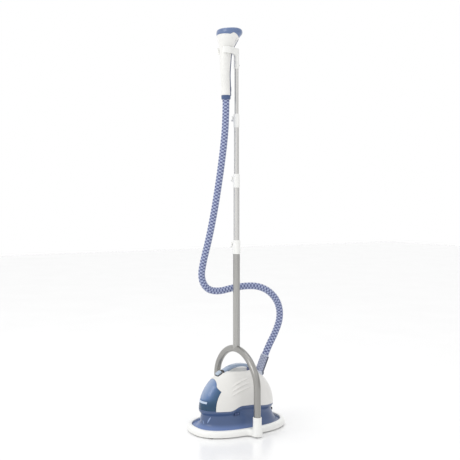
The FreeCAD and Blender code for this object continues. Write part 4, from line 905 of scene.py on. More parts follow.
def make_grip_edges():
    """Raised edges of the finger grip under the water tank, mirrored about the middle of the front, in pale blue as a
    painted highlight along them.
    """
    strokes = (((0.0345, 0.0615), (0.0270, 0.0395), 0.0026), ((0.0060, 0.0460), (0.0125, 0.0350), 0.0020))
    strips = []
    for side in (-1, 1):
        for (x0, z0), (x1, z1), widest in strokes:
            rings = []
            for k in range(21):
                t = k / 20
                z = z0 + (z1 - z0) * t
                middle = x0 + (x1 - x0) * t
                steep = FRONT_STEEP * smooth((z - 0.020) / 0.012) * smooth((0.057 - z) / 0.022)
                half_x, half_y = hermite(HOUSING, z, 1), hermite(HOUSING, z, 2)
                width = widest * math.sin(math.pi * min(max(t, 0.03), 0.97)) ** 0.5
                ring = []
                for i in range(9):
                    s = 2 * i / 8 - 1
                    x = middle + s * width
                    front = math.sqrt(1 - (x / half_x) ** 2)
                    out = Vector((x / half_x ** 2, -front / half_y, 0)).normalized()
                    y = -(half_y - steep * smooth(front)) * front
                    spot = Vector((x, y, z)) + out * (0.0012 * (1 - s * s) - 0.0003)
                    ring.append(Vector((side * spot.x, spot.y, spot.z)))
                rings.append(ring)
            strips.append(skin(rings, loop=False))
    new_piece("grip_edges", join(*strips), GRIP_HIGHLIGHT_BLUE, STAND, "blue_plastic", sharp=80)


def make_badge():
    """Plain pale badge, without any print, on the front of the water tank."""
    node = nodes["water_tank"]
    node.data.calc_loop_triangles()
    tank = BVHTree.FromPolygons([node.matrix_world @ v.co for v in node.data.vertices],
                                [tuple(t.vertices) for t in node.data.loop_triangles])
    corners = oblong(0.0275, 0.0036, 0.0012)
    outline = [a.lerp(b, k / 4) for a, b in zip(corners, corners[1:] + corners[:1]) for k in range(4)]
    rings = []
    for share, lift in ((1.0, -0.0004), (1.0, 0.0003), (0.985, 0.0007), (0.75, 0.0008), (0.5, 0.0008),
                        (0.25, 0.0008), (0.02, 0.0008)):
        ring = []
        for p in outline:
            start = Vector((p.x * share, -0.3, BADGE_Z + p.y * share))
            hit = tank.ray_cast(start, Vector((0, 1, 0)))[0]
            ring.append(hit - Vector((0, lift, 0)))
        rings.append(ring)
    new_piece("tank_badge", skin(rings, cap_high=True), PALE_BADGE, "tank", "white_plastic", sharp=50)


def make_flutes():
    """Three shallow raised flutes that sweep down over each side of the dome."""
    routes = (((0.036, 0.1900), (-0.004, 0.1905), (-0.040, 0.1790), (-0.060, 0.1620)),
              ((0.030, 0.1750), (-0.008, 0.1755), (-0.044, 0.1635), (-0.064, 0.1460)),
              ((0.024, 0.1600), (-0.012, 0.1605), (-0.046, 0.1485), (-0.066, 0.1320)))
    steps, across = 40, 14
    half_width, height = 0.0062, 0.0030
    strips = []
    for side in (-1, 1):
        for route in routes:
            rings = []
            for k in range(steps + 1):
                t = k / steps
                weights = ((1 - t) ** 3, 3 * t * (1 - t) ** 2, 3 * t * t * (1 - t), t ** 3)
                y = sum(w * p[0] for w, p in zip(weights, route))
                z = sum(w * p[1] for w, p in zip(weights, route))
                taper = math.sin(math.pi * min(max(t, 0.004), 0.996)) ** 0.7
                ring = []
                for i in range(across + 1):
                    s = 2 * i / across - 1
                    swell = smooth((1 - s) / 1.6) * smooth((1 + s) / 0.35)
                    lift = -0.0004 + height * taper * swell
                    p = dome_side(y, z + s * half_width * taper, lift)
                    ring.append(Vector((side * p.x, p.y, p.z)))
                rings.append(ring)
            strips.append(skin(rings, loop=False))
    new_piece("side_flutes", join(*strips), WHITE_EDGED, STAND, "white_plastic", sharp=80)


def slope_frame():
    """Places (x, y, height) on the dome's front slope, centred under the release button."""
    centre = Vector((0, BUTTON_Y, dome_height(BUTTON_Y)))
    turn = Matrix.Rotation(BUTTON_TILT, 3, "X")
    return lambda p: centre + turn @ p


def oblong(half_x, half_y, radius):
    corners = [(half_x, -half_y), (half_x, half_y), (-half_x, half_y), (-half_x, -half_y)]
    return rounded_outline([Vector(c) for c in corners], radius, 8)


def make_release_button():
    place = slope_frame()
    half_x, half_y = 0.0093, 0.0103
    body = soft_prism(oblong(half_x, half_y, 0.0050), -0.0030, 0.0078, 0.0022, place, 6)
    ribs = []
    for k in range(5):
        y = -0.0066 + 0.0033 * k
        rib = oblong(half_x - 0.0024, 0.0009, 0.00088)
        ribs.append(soft_prism([p + Vector((0, y)) for p in rib], 0.0072, 0.0088, 0.0005, place, 3))
    new_piece("release_knob", join(body, *ribs), KNOB_BLUE, "release_button", "steel_blue_plastic",
              ("release_button",))
    # The spring under the knob shortens as the knob goes down
    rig.squash(nodes["release_spring"], "release_button_press", place(Vector((0, 0, 1))) - place(Vector()),
              place(Vector((0, 0, -0.0080))), 0.36)
    outside, inside = oblong(0.0120, 0.0128, 0.0070), oblong(0.0098, 0.0108, 0.0052)
    rings = [[place(Vector((p.x, p.y, height))) for p in outline]
             for outline, height in ((outside, -0.0045), (outside, 0.0002), (oblong(0.0116, 0.0124, 0.0068), 0.0011),
                                     (oblong(0.0106, 0.0114, 0.0058), 0.0013), (inside, 0.0008),
                                     (inside, -0.0045))]
    new_piece("knob_gasket", skin(rings, close=True), BLACK, STAND, "black_plastic")


def handle_section(y, low_extra=0.0):
    """Top and underside of the handle at a place along the body."""
    front, crown, rear = (-0.062, 0.214), (0.012, 0.233), (0.080, 0.211)
    top = circle_through(front, crown, rear)
    under = circle_through((front[0], front[1] - 0.017), (crown[0], crown[1] - 0.011),
                           (rear[0], rear[1] - 0.017))
    return top(y), under(y) - low_extra


def circle_through(a, b, c):
    """Height of the upper arc through three points, as a function of the place along it."""
    ax, ay, bx, by, cx, cy = *a, *b, *c
    d = 2 * (ax * (by - cy) + bx * (cy - ay) + cx * (ay - by))
    ux = ((ax ** 2 + ay ** 2) * (by - cy) + (bx ** 2 + by ** 2) * (cy - ay) + (cx ** 2 + cy ** 2) * (ay - by)) / d
    uy = ((ax ** 2 + ay ** 2) * (cx - bx) + (bx ** 2 + by ** 2) * (ax - cx) + (cx ** 2 + cy ** 2) * (bx - ax)) / d
    radius = math.hypot(ax - ux, ay - uy)
    return lambda y: uy + math.sqrt(max(radius ** 2 - (y - ux) ** 2, 0.0))


def bar_rings(y0, y1, half_width, steps, grow=0.0):
    rings = []
    for k in range(steps + 1):
        y = y0 + (y1 - y0) * k / steps
        top, under = handle_section(y)
        middle, half = (top + under) / 2, (top - under) / 2 + grow
        outline = oblong(half_width + grow, half, 0.42 * (top - under))
        rings.append([Vector((p.x, y, middle + p.y)) for p in outline])
    return rings


def make_handle():
    bar = skin(bar_rings(-0.0588, 0.080, 0.0128, 48), cap_low=True, cap_high=True)
    new_piece("handle_bar", bar, STEEL_BLUE, STAND, "steel_blue_plastic", ("carry_handle",))
    band = skin(bar_rings(-0.0622, -0.0590, 0.0130, 4, 0.0003), cap_low=True, cap_high=True)
    new_piece("handle_collar", band, BLACK, STAND, "black_plastic", ("handle_band",))
    # Foot that carries the handle's rear end over the dome, darker than the handle as painted shade
    rings = []
    for k in range(25):
        share = k / 24
        y = 0.050 + 0.040 * share
        bulge = math.sin(math.pi * (0.10 + 0.82 * share)) ** 0.45
        under = handle_section(min(y, 0.080))[1]
        top = max(under + 0.004, dome_height(y) + 0.0012) - 0.004 * smooth((0.058 - y) / 0.008)
        low = min(dome_height(y) - 0.007, 0.200)
        outline = oblong(0.0158 * bulge, (top - low) / 2, 0.0045)
        rings.append([Vector((p.x, y, (top + low) / 2 + p.y)) for p in outline])
    new_piece("handle_foot", skin(rings, cap_low=True, cap_high=True), FOOT_SHADED_BLUE, STAND,
              "steel_blue_plastic")


def make_switch():
    low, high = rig.box("switch_body")
    middle = Vector(((low + high) / 2).yz)
    half_y, half_z = (high.y - low.y) / 2, (high.z - low.z) / 2
    outer, inner = oblong(half_y, half_z, 0.0030), oblong(half_y - 0.0013, half_z - 0.0013, 0.0018)

    def at(outline, x):
        return [Vector((x, middle.x + p.x, middle.y + p.y)) for p in outline]

    rings = [at(outer, low.x), at(outer, high.x - 0.0006), at(oblong(half_y - 0.0003, half_z - 0.0003, 0.0027), high.x),
             at(oblong(half_y - 0.0010, half_z - 0.0010, 0.0021), high.x), at(inner, high.x - 0.0004),
             at(inner, low.x + 0.003)]
    floor = soft_prism(inner, low.x + 0.001, low.x + 0.003, 0.0002,
                       lambda p: Vector((p.z, middle.x + p.x, middle.y + p.y)))
    new_piece("switch_bezel", join(skin(rings), floor), BLUE, STAND, "black_plastic", ("switch_body",))
    rock_low, rock_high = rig.box("power_switch")
    pivot = Vector((high.x - 0.0042, middle.x))
    tilt = math.radians(6)
    half_rock = 0.0094

    def rocker(p):
        swing = Matrix.Rotation(tilt, 2)
        x = pivot.x - 0.0025 + p.z
        moved = swing @ Vector((x - pivot.x, p.x))
        return Vector((pivot.x + moved.x, pivot.y + moved.y, middle.y + p.y))

    face = soft_prism(oblong(half_rock, 0.0046, 0.0012), 0.0, 0.0077, 0.0006, rocker)
    mark = soft_prism([p + Vector((0.0055, 0)) for p in oblong(0.0004, 0.0018, 0.0003)], 0.0074, 0.0079,
                      0.0001, rocker, 2)
    new_piece("rocker", face, DARK_BLUE, "power_switch", "black_plastic", ("power_switch",))
    new_piece("rocker_mark", mark, STEEL_BLUE, "power_switch", "white_plastic")


def make_inlet():
    low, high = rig.box("cord_inlet")
    z = (low.z + high.z) / 2
    y0 = low.y
    reach = high.y - 0.009
    profile = [(0.0036, y0), (0.0072, y0), (0.0072, reach - 0.0175), (0.0090, reach - 0.0172),
               (0.0094, reach - 0.0166), (0.0092, reach - 0.0158)]
    ribs = 5
    for k in range(ribs):
        share = k / ribs
        radius = 0.0074 - 0.0022 * share
        base = reach - 0.0150 + 0.0140 * share
        profile += [(radius - 0.0006, base), (radius, base + 0.0006), (radius, base + 0.0016),
                    (radius - 0.0006, base + 0.0022)]
    profile += [(0.0050, reach - 0.0004), (0.0045, reach), (0.0040, reach), (0.0036, reach - 0.0005),
                (0.0036, y0)]
    new_piece("inlet_boot", lathe([(r, h) for r, h in profile], (0, 0, z), (0, 1, 0), 48, close=True),
              RUBBER, STAND, "rubber_black", ("cord_inlet",))


# ---------------------------------------------------------------- hose

def hose_line():
    """Even points along the hose's NURBS centreline, about a millimetre apart."""
    curve = bpy.data.curves.new("hose_route", "CURVE")
    curve.dimensions = "3D"
    curve.resolution_u = 24
    spline = curve.splines.new("NURBS")
    spline.points.add(len(HOSE_ROUTE) - 1)
    for point, place in zip(spline.points, HOSE_ROUTE):
        point.co = (*place, 1)
    spline.order_u = 3
    spline.use_endpoint_u = True
    holder = bpy.data.objects.new("hose_route", curve)
    mesh = bpy.data.meshes.new_from_object(holder)
    line = [v.co.copy() for v in mesh.vertices]
    bpy.data.meshes.remove(mesh)
    bpy.data.objects.remove(holder)
    bpy.data.curves.remove(curve)
    return even(line, 0.0013)


def even(line, step):
    along = [0.0]
    for a, b in zip(line, line[1:]):
        along.append(along[-1] + (b - a).length)
    count = round(along[-1] / step)
    points, index = [], 0
    for k in range(count + 1):
        place = along[-1] * k / count
        while index < len(line) - 2 and along[index + 1] < place:
            index += 1
        share = (place - along[index]) / (along[index + 1] - along[index])
        points.append(line[index].lerp(line[index + 1], share))
    return points


def carried_frames(line):
    """Tangent and a sideways vector carried along the line without twist."""
    frames = []
    side = Vector((1, 0, 0))
    for i in range(len(line)):
        ahead = line[min(i + 1, len(line) - 1)] - line[max(i - 1, 0)]
        tangent = ahead.normalized()
        side = (side - tangent * side.dot(tangent)).normalized()
        frames.append((tangent, side.copy()))
    return frames


def braid_tube(name, line, frames, first, last, radius, around, pitch, relief_depth, material, count=48):
    """Part of the hose with the braid's relief, and its length and girth as UVs."""
    step = (line[1] - line[0]).length
    points, faces, uvs = [], [], []
    for i in range(first, last + 1):
        tangent, side = frames[i]
        up = tangent.cross(side)
        for k in range(count):
            turn = 2 * math.pi * k / count
            lozenge = math.cos(around * turn) * math.cos(2 * math.pi * i * step / pitch)
            reach = radius - relief_depth + relief_depth * smooth(0.5 + lozenge * 0.9)
            points.append(line[i] + (side * math.cos(turn) + up * math.sin(turn)) * reach)
    rows = last - first
    for r in range(rows):
        for k in range(count):
            n = (k + 1) % count
            faces.append((r * count + k, r * count + n, (r + 1) * count + n, (r + 1) * count + k))
            low, high = (first + r) * step, (first + r + 1) * step
            uvs += [(k / count, low), ((k + 1) / count, low), ((k + 1) / count, high), (k / count, high)]
    mesh = bpy.data.meshes.new(name)
    mesh.from_pydata([tuple(p) for p in points], [], faces)
    layer = mesh.uv_layers.new(name="braid")
    layer.data.foreach_set("uv", [value for uv in uvs for value in uv])
    piece = bpy.data.objects.new(name, mesh)
    bpy.context.scene.collection.objects.link(piece)
    mesh.materials.append(material)
    for polygon in mesh.polygons:
        polygon.use_smooth = True
    return piece


# Place along the hose where each stretch ends, and the two bodies that it joins
HOSE_STRETCHES = (("hose_low", 0.440, STAND, "stage_2"), ("hose_loop", 0.745, "stage_2", "stage_3"),
                  ("hose_rise", 1.040, "stage_3", "stage_4"), ("hose_top", None, "stage_4", "handset"))


def make_hose():
    line = hose_line()
    frames = carried_frames(line)
    step = (line[1] - line[0]).length
    first = 0
    pieces = []
    for name, end, lower, upper in HOSE_STRETCHES:
        last = len(line) - 1 if end is None else round(end / step)
        piece = braid_tube(name, line, frames, first, last, HOSE_R, 4, HOSE_PITCH, 0.0007, BRAID)
        path = line[first:last + 1]
        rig.blend(piece, lower, upper, path[0], path[-1])
        weights = []
        for i in range(first, last + 1):
            weights += [smooth((i - first) / (last - first))] * 48
        piece.data.attributes["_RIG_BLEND"].data.foreach_set("value", weights)
        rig.slot(piece, "hose_braid")
        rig.cord(piece, exit=path[0], length=round(step * (last - first), 4), diameter=2 * HOSE_R,
                far_end="object", stiffness="medium", lay="hanging", path=path)
        pieces.append(piece)
        first = last
    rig.replaces(pieces[0], "steam_hose")


def make_cuff():
    start = OUTLET_BASE + OUTLET_AXIS * 0.004
    length = 0.064
    rows = 64
    line = [start + OUTLET_AXIS * length * k / rows for k in range(rows + 1)]
    frames = carried_frames(line)
    cuff = braid_tube("cuff", line, frames, 0, rows, 0.0160, 6, CUFF_PITCH, 0.0008, CUFF_BRAID, 96)
    settle(cuff, STAND, "cuff_braid", ("hose_cuff",))
    cap = []
    for place, radius in ((0.0, 0.0160), (0.0004, 0.0164), (0.0018, 0.0166), (0.0030, 0.0163),
                          (0.0038, 0.0150), (0.0040, 0.0132)):
        cap.append((radius, place))
    top = start + OUTLET_AXIS * (length - 0.0034)
    profile = [(0.0128, 0.0)] + cap
    new_piece("cuff_rim", lathe(profile, top, OUTLET_AXIS, 64), CUFF_RIM, STAND, "cuff_braid")
    # Dark strip down the rear of the cuff: painted shade on its side away from the light
    sideways = Vector((1, 0, 0))
    rearwards = OUTLET_AXIS.cross(sideways)
    rings = []
    for k in range(25):
        share = k / 24
        place = -0.0070 + (length + 0.0030) * share
        foot = 1 - smooth((place - 0.0004) / 0.0030)
        centre = start + OUTLET_AXIS * place
        ring = []
        for i in range(13):
            turn = math.radians(-76 + 152 * i / 12)
            bulge = 0.0162 + 0.0008 * math.cos(math.pi * (i / 12 - 0.5)) ** 0.5 + 0.0026 * foot
            ring.append(centre + (rearwards * math.cos(turn) + sideways * math.sin(turn)) * bulge)
        rings.append(ring)
    new_piece("cuff_strip", skin(rings, loop=False), CUFF_SHADE_STRIP, STAND, "black_plastic", sharp=60)
    profile = ((0.0100, -0.0090), (0.0182, -0.0075), (0.0186, -0.0020), (0.0184, 0.0012), (0.0174, 0.0030),
               (0.0166, 0.0046), (0.0160, 0.0052), (0.0120, 0.0054))
    new_piece("gland", lathe(profile, OUTLET_BASE, OUTLET_AXIS, 64), CUFF_RIM, STAND, "black_plastic",
              ("hose_gland",))


# ---------------------------------------------------------------- pole

TUBE_TOP_EDGE = 0.0004


def make_tubes():
    radii = {2: 0.01125, 3: 0.0095, 4: 0.00775}
    bodies = {2: "stage_2", 3: "stage_3", 4: "stage_4"}
    for stage, radius in radii.items():
        low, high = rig.box("pole_tube_%d" % stage)
        wall = radius - 0.0011
        profile = ((wall, low.z), (radius - TUBE_TOP_EDGE, low.z), (radius, low.z + TUBE_TOP_EDGE),
                   (radius, high.z - TUBE_TOP_EDGE), (radius - TUBE_TOP_EDGE, high.z), (wall, high.z),
                   (wall, low.z))
        new_piece("tube_%d" % stage, lathe(profile[:-1], count=72, close=True), TOP_TUBE, bodies[stage],
                  "satin_tube", ("pole_tube_%d" % stage,))


def lever_place(turned=216.9):
    """Turns a shape drawn on the +X side of the pole to the side that the levers are on."""
    turn = Matrix.Rotation(math.radians(turned), 3, "Z")
    return lambda p: turn @ p


def make_clamp(stage, body):
    low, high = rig.box("clamp_sleeve_%d" % stage)
    tube_r = (0.0129, 0.01125, 0.0095, 0.00775)
    outer = tube_r[stage - 1] + 0.0017
    upper_r = tube_r[stage]
    z0, z1 = low.z, high.z
    step_z = z0 + 0.029
    profile = ((tube_r[stage - 1] + 0.0001, z0 + 0.0004), (outer - 0.0010, z0), (outer - 0.0004, z0 + 0.0002),
               (outer, z0 + 0.0012), (outer, z0 + 0.0070), (outer - 0.0004, z0 + 0.0074),
               (outer - 0.0004, z0 + 0.0082), (outer, z0 + 0.0086), (outer, step_z),
               (outer - 0.0003, step_z + 0.0008), (outer - 0.0003, z1 - 0.0042), (outer - 0.0007, z1 - 0.0022),
               (outer - 0.0018, z1 - 0.0006), (outer - 0.0030, z1), (upper_r + 0.0004, z1),
               (upper_r + 0.0001, z1 - 0.0006), (upper_r + 0.0001, step_z), (tube_r[stage - 1] + 0.0001, step_z))
    sleeve = lathe(profile, count=80, close=True)
    place = lever_place()
    pivot_x, pivot_z = outer + 0.0026, z0 + 0.026
    half_width = 0.0055
    ears = []
    for side in (-1, 1):
        near = side * (half_width + 0.0003)
        far = side * (half_width + 0.0027)
        outline = rounded_outline([Vector(c) for c in ((outer - 0.004, pivot_z - 0.0050),
                                                       (pivot_x + 0.0038, pivot_z - 0.0040),
                                                       (pivot_x + 0.0038, pivot_z + 0.0040),
                                                       (outer - 0.004, pivot_z + 0.0050))], 0.0030)
        ears.append(soft_prism(outline, min(near, far), max(near, far), 0.0006,
                               lambda p: place(Vector((p.x, p.z, p.y)))))
    new_piece("sleeve_%d" % stage, join(sleeve, *ears), FRAME_WHITE, body, "white_plastic",
              ("clamp_sleeve_%d" % stage,))
    return outer, pivot_x, pivot_z, half_width, place


def make_lever(stage, outer, pivot_x, pivot_z, half_width, place):
    inner = outer + 0.0006
    tip = pivot_z + 0.017
    side_view = [(inner, pivot_z - 0.0020), (pivot_x + 0.0019, pivot_z - 0.0021),
                 (inner + 0.0034, pivot_z + 0.0040), (inner + 0.0034, tip - 0.0060),
                 (inner + 0.0056, tip - 0.0004), (inner + 0.0034, tip), (inner + 0.0014, tip - 0.0036),
                 (inner, tip - 0.0060)]
    outline = rounded_outline([Vector(c) for c in side_view], 0.0014, 5)
    lever = soft_prism(outline, -half_width, half_width, 0.0009, lambda p: place(Vector((p.x, p.z, p.y))))
    new_piece("lever_%d_tab" % stage, lever, FRAME_WHITE, "lever_%d" % stage, "white_plastic",
              ("clamp_lever_%d" % stage,))


def make_clamps():
    for stage, body in ((1, STAND), (2, "stage_2"), (3, "stage_3")):
        make_lever(stage, *make_clamp(stage, body))


# ---------------------------------------------------------------- cradle

def cradle_section():
    """Rounded cross-section of the cradle ring: (on the outside, height, how far the edge is cut back)."""
    edge, steps = 0.0018, 5
    rim = []
    for k in range(steps + 1):
        phi = math.pi / 2 * k / steps
        rim.append((edge * (1 - math.cos(phi)), edge * (1 - math.sin(phi))))
    section = [(True, CRADLE_LOW + rise, inset) for rise, inset in rim]
    section += [(True, CRADLE_HIGH - rise, inset) for rise, inset in reversed(rim)]
    section += [(False, CRADLE_HIGH - rise, -inset) for rise, inset in rim]
    section += [(False, CRADLE_LOW + rise, -inset) for rise, inset in reversed(rim)]
    return section


def cradle_point(turn, outside, height, inset):
    direction = Vector((math.cos(turn), math.sin(turn), 0))
    if outside:
        return Vector((0, CRADLE_Y, height)) + direction * (CRADLE_R - inset)
    lift = 0.0012
    if turn > 0 and abs(math.cos(turn)) * 0.024 < SPINE_HALF_X:
        lift += SPINE_LIFT
    half_x, half_y = hermite(HANDSET, height, 1) + lift, hermite(HANDSET, height, 2) + lift
    reach = half_x * half_y / math.hypot(half_y * direction.x, half_x * direction.y)
    return Vector((0, hermite(HANDSET, height, 3), height)) + direction * (reach - inset)


def make_cradle():
    start, sweep, count = math.radians(-50), math.radians(280), 120
    end_radius = 0.0045
    rings = []
    for i in range(count + 1):
        from_end = min(i, count - i) * sweep / count * CRADLE_R
        share = min(from_end / end_radius, 1.0)
        swell = math.sqrt(max(1 - (1 - share) ** 2, 0.06))
        points = [cradle_point(start + sweep * i / count, *place) for place in cradle_section()]
        middle = sum(points, Vector()) / len(points)
        rings.append([middle + (point - middle) * swell for point in points])
    ring = skin(rings, cap_low=True, cap_high=True)
    near, far = CRADLE_Y + 0.0275, -0.001
    outline = rounded_outline([Vector(c) for c in ((-0.0098, near), (0.0098, near), (0.0098, far), (-0.0098, far))],
                              0.0015)
    bridge = soft_prism(outline, CRADLE_LOW, CRADLE_HIGH, 0.0016, lambda p: p)
    low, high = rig.box("hanger_bracket")
    r = 0.00995
    profile = ((0.0079, low.z + 0.0004), (r - 0.0010, low.z), (r - 0.0003, low.z + 0.0003), (r, low.z + 0.0010),
               (r, low.z + 0.0052), (r - 0.0004, low.z + 0.0056), (r - 0.0004, low.z + 0.0064),
               (r, low.z + 0.0068), (r, high.z - 0.0026), (r - 0.0004, high.z - 0.0011),
               (r - 0.0012, high.z - 0.0003), (r - 0.0026, high.z))
    new_piece("cradle", join(ring, bridge, lathe(profile, count=72)), FRAME_WHITE, "stage_4", "white_plastic",
              ("hanger_bracket",), sharp=40)


# ---------------------------------------------------------------- handset

def handset_point(turn, z, lift=0.0):
    half_x, half_y = hermite(HANDSET, z, 1) + lift, hermite(HANDSET, z, 2) + lift
    return Vector((half_x * math.cos(turn), hermite(HANDSET, z, 3) + half_y * math.sin(turn), z))


def split_height(turn, lift=0.0):
    """Height at which the handset's surface meets the head cap in a direction."""
    z = 1.447
    for _ in range(12):
        z = 0.5 * z + 0.5 * along_line(HEAD_SPLIT, handset_point(turn, z, lift).y)
    return z


def plate_height(y, below=0.0):
    """Height of the leaning face of the head at a place from front to rear."""
    front = 0.0026 * smooth((-0.055 - y) / 0.035)
    return PLATE_CENTRE.z + (y - PLATE_CENTRE.y) * math.tan(PLATE_TILT) + front - below


def thicken(piece, depth, edge):
    wall = piece.modifiers.new("wall", "SOLIDIFY")
    wall.thickness = depth
    wall.offset = -1
    rim = piece.modifiers.new("rim", "BEVEL")
    rim.width = edge
    rim.segments = 3
    rim.limit_method = "ANGLE"
    rim.angle_limit = math.radians(50)


def make_shells():
    bottom = HANDSET[0][0]
    rows, across = 90, 56
    for side, name in ((-1, "left"), (1, "right")):
        rings = []
        for r in range(rows + 1):
            ring = []
            for i in range(across + 1):
                share = i / across
                half_x = hermite(HANDSET, bottom + 0.2 * r / rows, 1)
                rear = math.acos(min((SPINE_HALF_X + 0.00015) / half_x, 1.0))
                turn = -math.pi / 2 + (math.pi / 2 + rear) * share
                top = split_height(turn) - 0.0001
                z = bottom + (top - bottom) * r / rows
                half_x = hermite(HANDSET, z, 1)
                rear = math.acos(min((SPINE_HALF_X + 0.00015) / half_x, 1.0))
                turn = -math.pi / 2 + (math.pi / 2 + rear) * share
                p = handset_point(turn, z)
                ring.append(Vector((side * max(p.x, 0.00008), p.y, p.z)))
            rings.append(ring)
        shell = new_piece("handset_half_" + name, skin(rings, loop=False), WHITE, sharp=50)
        point_out(shell, lambda p: Vector((p.x, p.y - hermite(HANDSET, p.z, 3), 0)))
        thicken(shell, 0.0020, 0.00035)
        settle(shell, "handset", "white_plastic", ("handset_shell_" + name,))


def point_out(piece, outwards):
    """Turn an open surface's faces so that they look outwards."""
    mesh = piece.data
    face = mesh.polygons[len(mesh.polygons) // 2]
    if face.normal.dot(outwards(face.center)) < 0:
        mesh.flip_normals()


def make_spine():
    low, high = HANDSET[0][0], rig.box("handset_spine")[1].z
    button_low, button_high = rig.box("steam_button")
    middle_z = (button_low.z + button_high.z) / 2
    window_x, window_z = 0.00485, 0.00835
    columns = sorted([-SPINE_HALF_X + 2 * SPINE_HALF_X * i / 18 for i in range(19)] + [-window_x, window_x])
    rows = [low + (high - low) * k / 70 for k in range(71)]
    rows = sorted(z for z in rows if min(abs(z - middle_z - window_z), abs(z - middle_z + window_z)) > 0.001)
    rows = sorted(rows + [middle_z - window_z, middle_z + window_z])
    points, faces = [], []
    for z in rows:
        for x in columns:
            half_x = hermite(HANDSET, z, 1) + SPINE_LIFT
            turn = math.acos(x / half_x)
            top = split_height(turn, SPINE_LIFT) - 0.0002
            crown = SPINE_LIFT * (1 - 0.22 * abs(x / SPINE_HALF_X) ** 8)
            p = handset_point(turn, min(z, top), crown)
            points.append(Vector((x, p.y, p.z)))
    count = len(columns)
    for r in range(len(rows) - 1):
        for i in range(count - 1):
            x, z = (columns[i] + columns[i + 1]) / 2, (rows[r] + rows[r + 1]) / 2
            if abs(x) < window_x and abs(z - middle_z) < window_z:
                continue
            faces.append((r * count + i, r * count + i + 1, (r + 1) * count + i + 1, (r + 1) * count + i))
    spine = new_piece("spine", (points, faces), DARK_SPINE, sharp=50)
    point_out(spine, lambda p: Vector((0, 1, 0)))
    thicken(spine, 0.0045, 0.0007)
    settle(spine, "handset", "blue_plastic", ("handset_spine",))
    outline = oblong(0.0045, 0.0080, 0.0012)
    button = soft_prism(outline, button_low.y + 0.0004, button_high.y, 0.0014,
                        lambda p: Vector((p.x, p.z, middle_z + p.y)), 6)
    dimple = soft_prism(oblong(0.0024, 0.0011, 0.0010), button_high.y - 0.0004, button_high.y + 0.0003, 0.0002,
                        lambda p: Vector((p.x, p.z, middle_z + p.y)), 3)
    new_piece("steam_trigger", join(button, dimple), DARK_BLUE, "steam_button", "dark_blue_plastic",
              ("steam_button",))


def make_collar():
    low, high = COLLAR_BOTTOM, HANDSET[0][0]
    profile = ((0.0070, low + 0.0008), (0.0152, low), (0.0162, low + 0.0006), (0.0167, low + 0.0018),
               (0.0173, high - 0.0052), (0.0168, high - 0.0048), (0.0168, high - 0.0040),
               (0.0174, high - 0.0036), (0.01755, high - 0.0012), (0.0170, high - 0.0002),
               (0.0150, high), (0.0070, high))
    new_piece("neck_collar", lathe(profile, (0, HANDSET[0][3], 0), count=80), BLUE, "handset",
              "blue_plastic", ("handset_collar",))


def make_cap():
    count, levels, arc = 192, 14, 12
    tilt = Matrix.Rotation(PLATE_TILT, 3, "X")
    columns = []
    for i in range(count):
        turn = 2 * math.pi * i / count
        rim = 0.0105 - 0.0035 * smooth(0.5 - 0.5 * math.sin(turn))
        low = split_height(turn) + 0.0002
        top = PLATE_CENTRE.z
        for _ in range(20):
            top = plate_height(handset_point(turn, min(top, 1.490)).y)
        corner = handset_point(turn, top)
        inner = superellipse(PLATE_HALF_X + 0.0002, PLATE_HALF_Y + 0.0002, turn, 2.3)
        opening = PLATE_CENTRE + tilt @ Vector((inner.x, inner.y, 0))
        inwards = (opening - corner).normalized()
        down = (handset_point(turn, top - rim) - corner).normalized()
        column = [handset_point(turn, low, -0.0022), handset_point(turn, low + 0.0001, -0.0004),
                  handset_point(turn, low + 0.0004, 0.0)]
        start = corner + down * rim
        for k in range(1, levels):
            column.append(handset_point(turn, low + 0.0004 + (start.z - low - 0.0004) * k / levels))
        for k in range(arc + 1):
            phi = math.radians(90 * k / arc)
            column.append(corner + down * rim * (1 - math.sin(phi)) + inwards * rim * (1 - math.cos(phi)))
        column.append(opening - inwards * 0.0008)
        column.append(opening - inwards * 0.0002 + tilt @ Vector((0, 0, -0.0003)))
        column.append(opening + tilt @ Vector((0, 0, -0.0010)))
        column.append(opening + tilt @ Vector((0, 0, -0.0040)))
        columns.append(column)
    rings = [[column[k] for column in columns] for k in range(len(columns[0]))]
    new_piece("head_shell", skin(rings), CAP_BLUE, "handset", "blue_plastic", ("head_cap",), sharp=45)


def make_vents():
    """Short upright grey strips near the rear of the head: painted shade where grooves are."""
    slots = []
    for side in (-1, 1):
        for k in range(4):
            turn = math.radians(24 + 10.5 * k)
            top = split_height(turn) - 0.005
            rings = []
            for r in range(13):
                z = top - 0.020 + 0.020 * r / 12
                taper = math.sin(math.pi * min(max(r / 12, 0.02), 0.98)) ** 0.5
                ring = []
                for i in range(5):
                    off = (i / 4 - 0.5) * 0.0018 * taper
                    half = hermite(HANDSET, z, 1)
                    p = handset_point(turn + off / half, z, 0.0002 * taper * (1 - (i / 2 - 1) ** 2) - 0.00005)
                    ring.append(Vector((side * p.x, p.y, p.z)))
                rings.append(ring)
            slots.append(skin(rings, loop=False))
    new_piece("head_groove_shades", join(*slots), GROOVE_SHADE_GREY, "handset", "white_plastic", sharp=80)


# ---------------------------------------------------------------- hoop

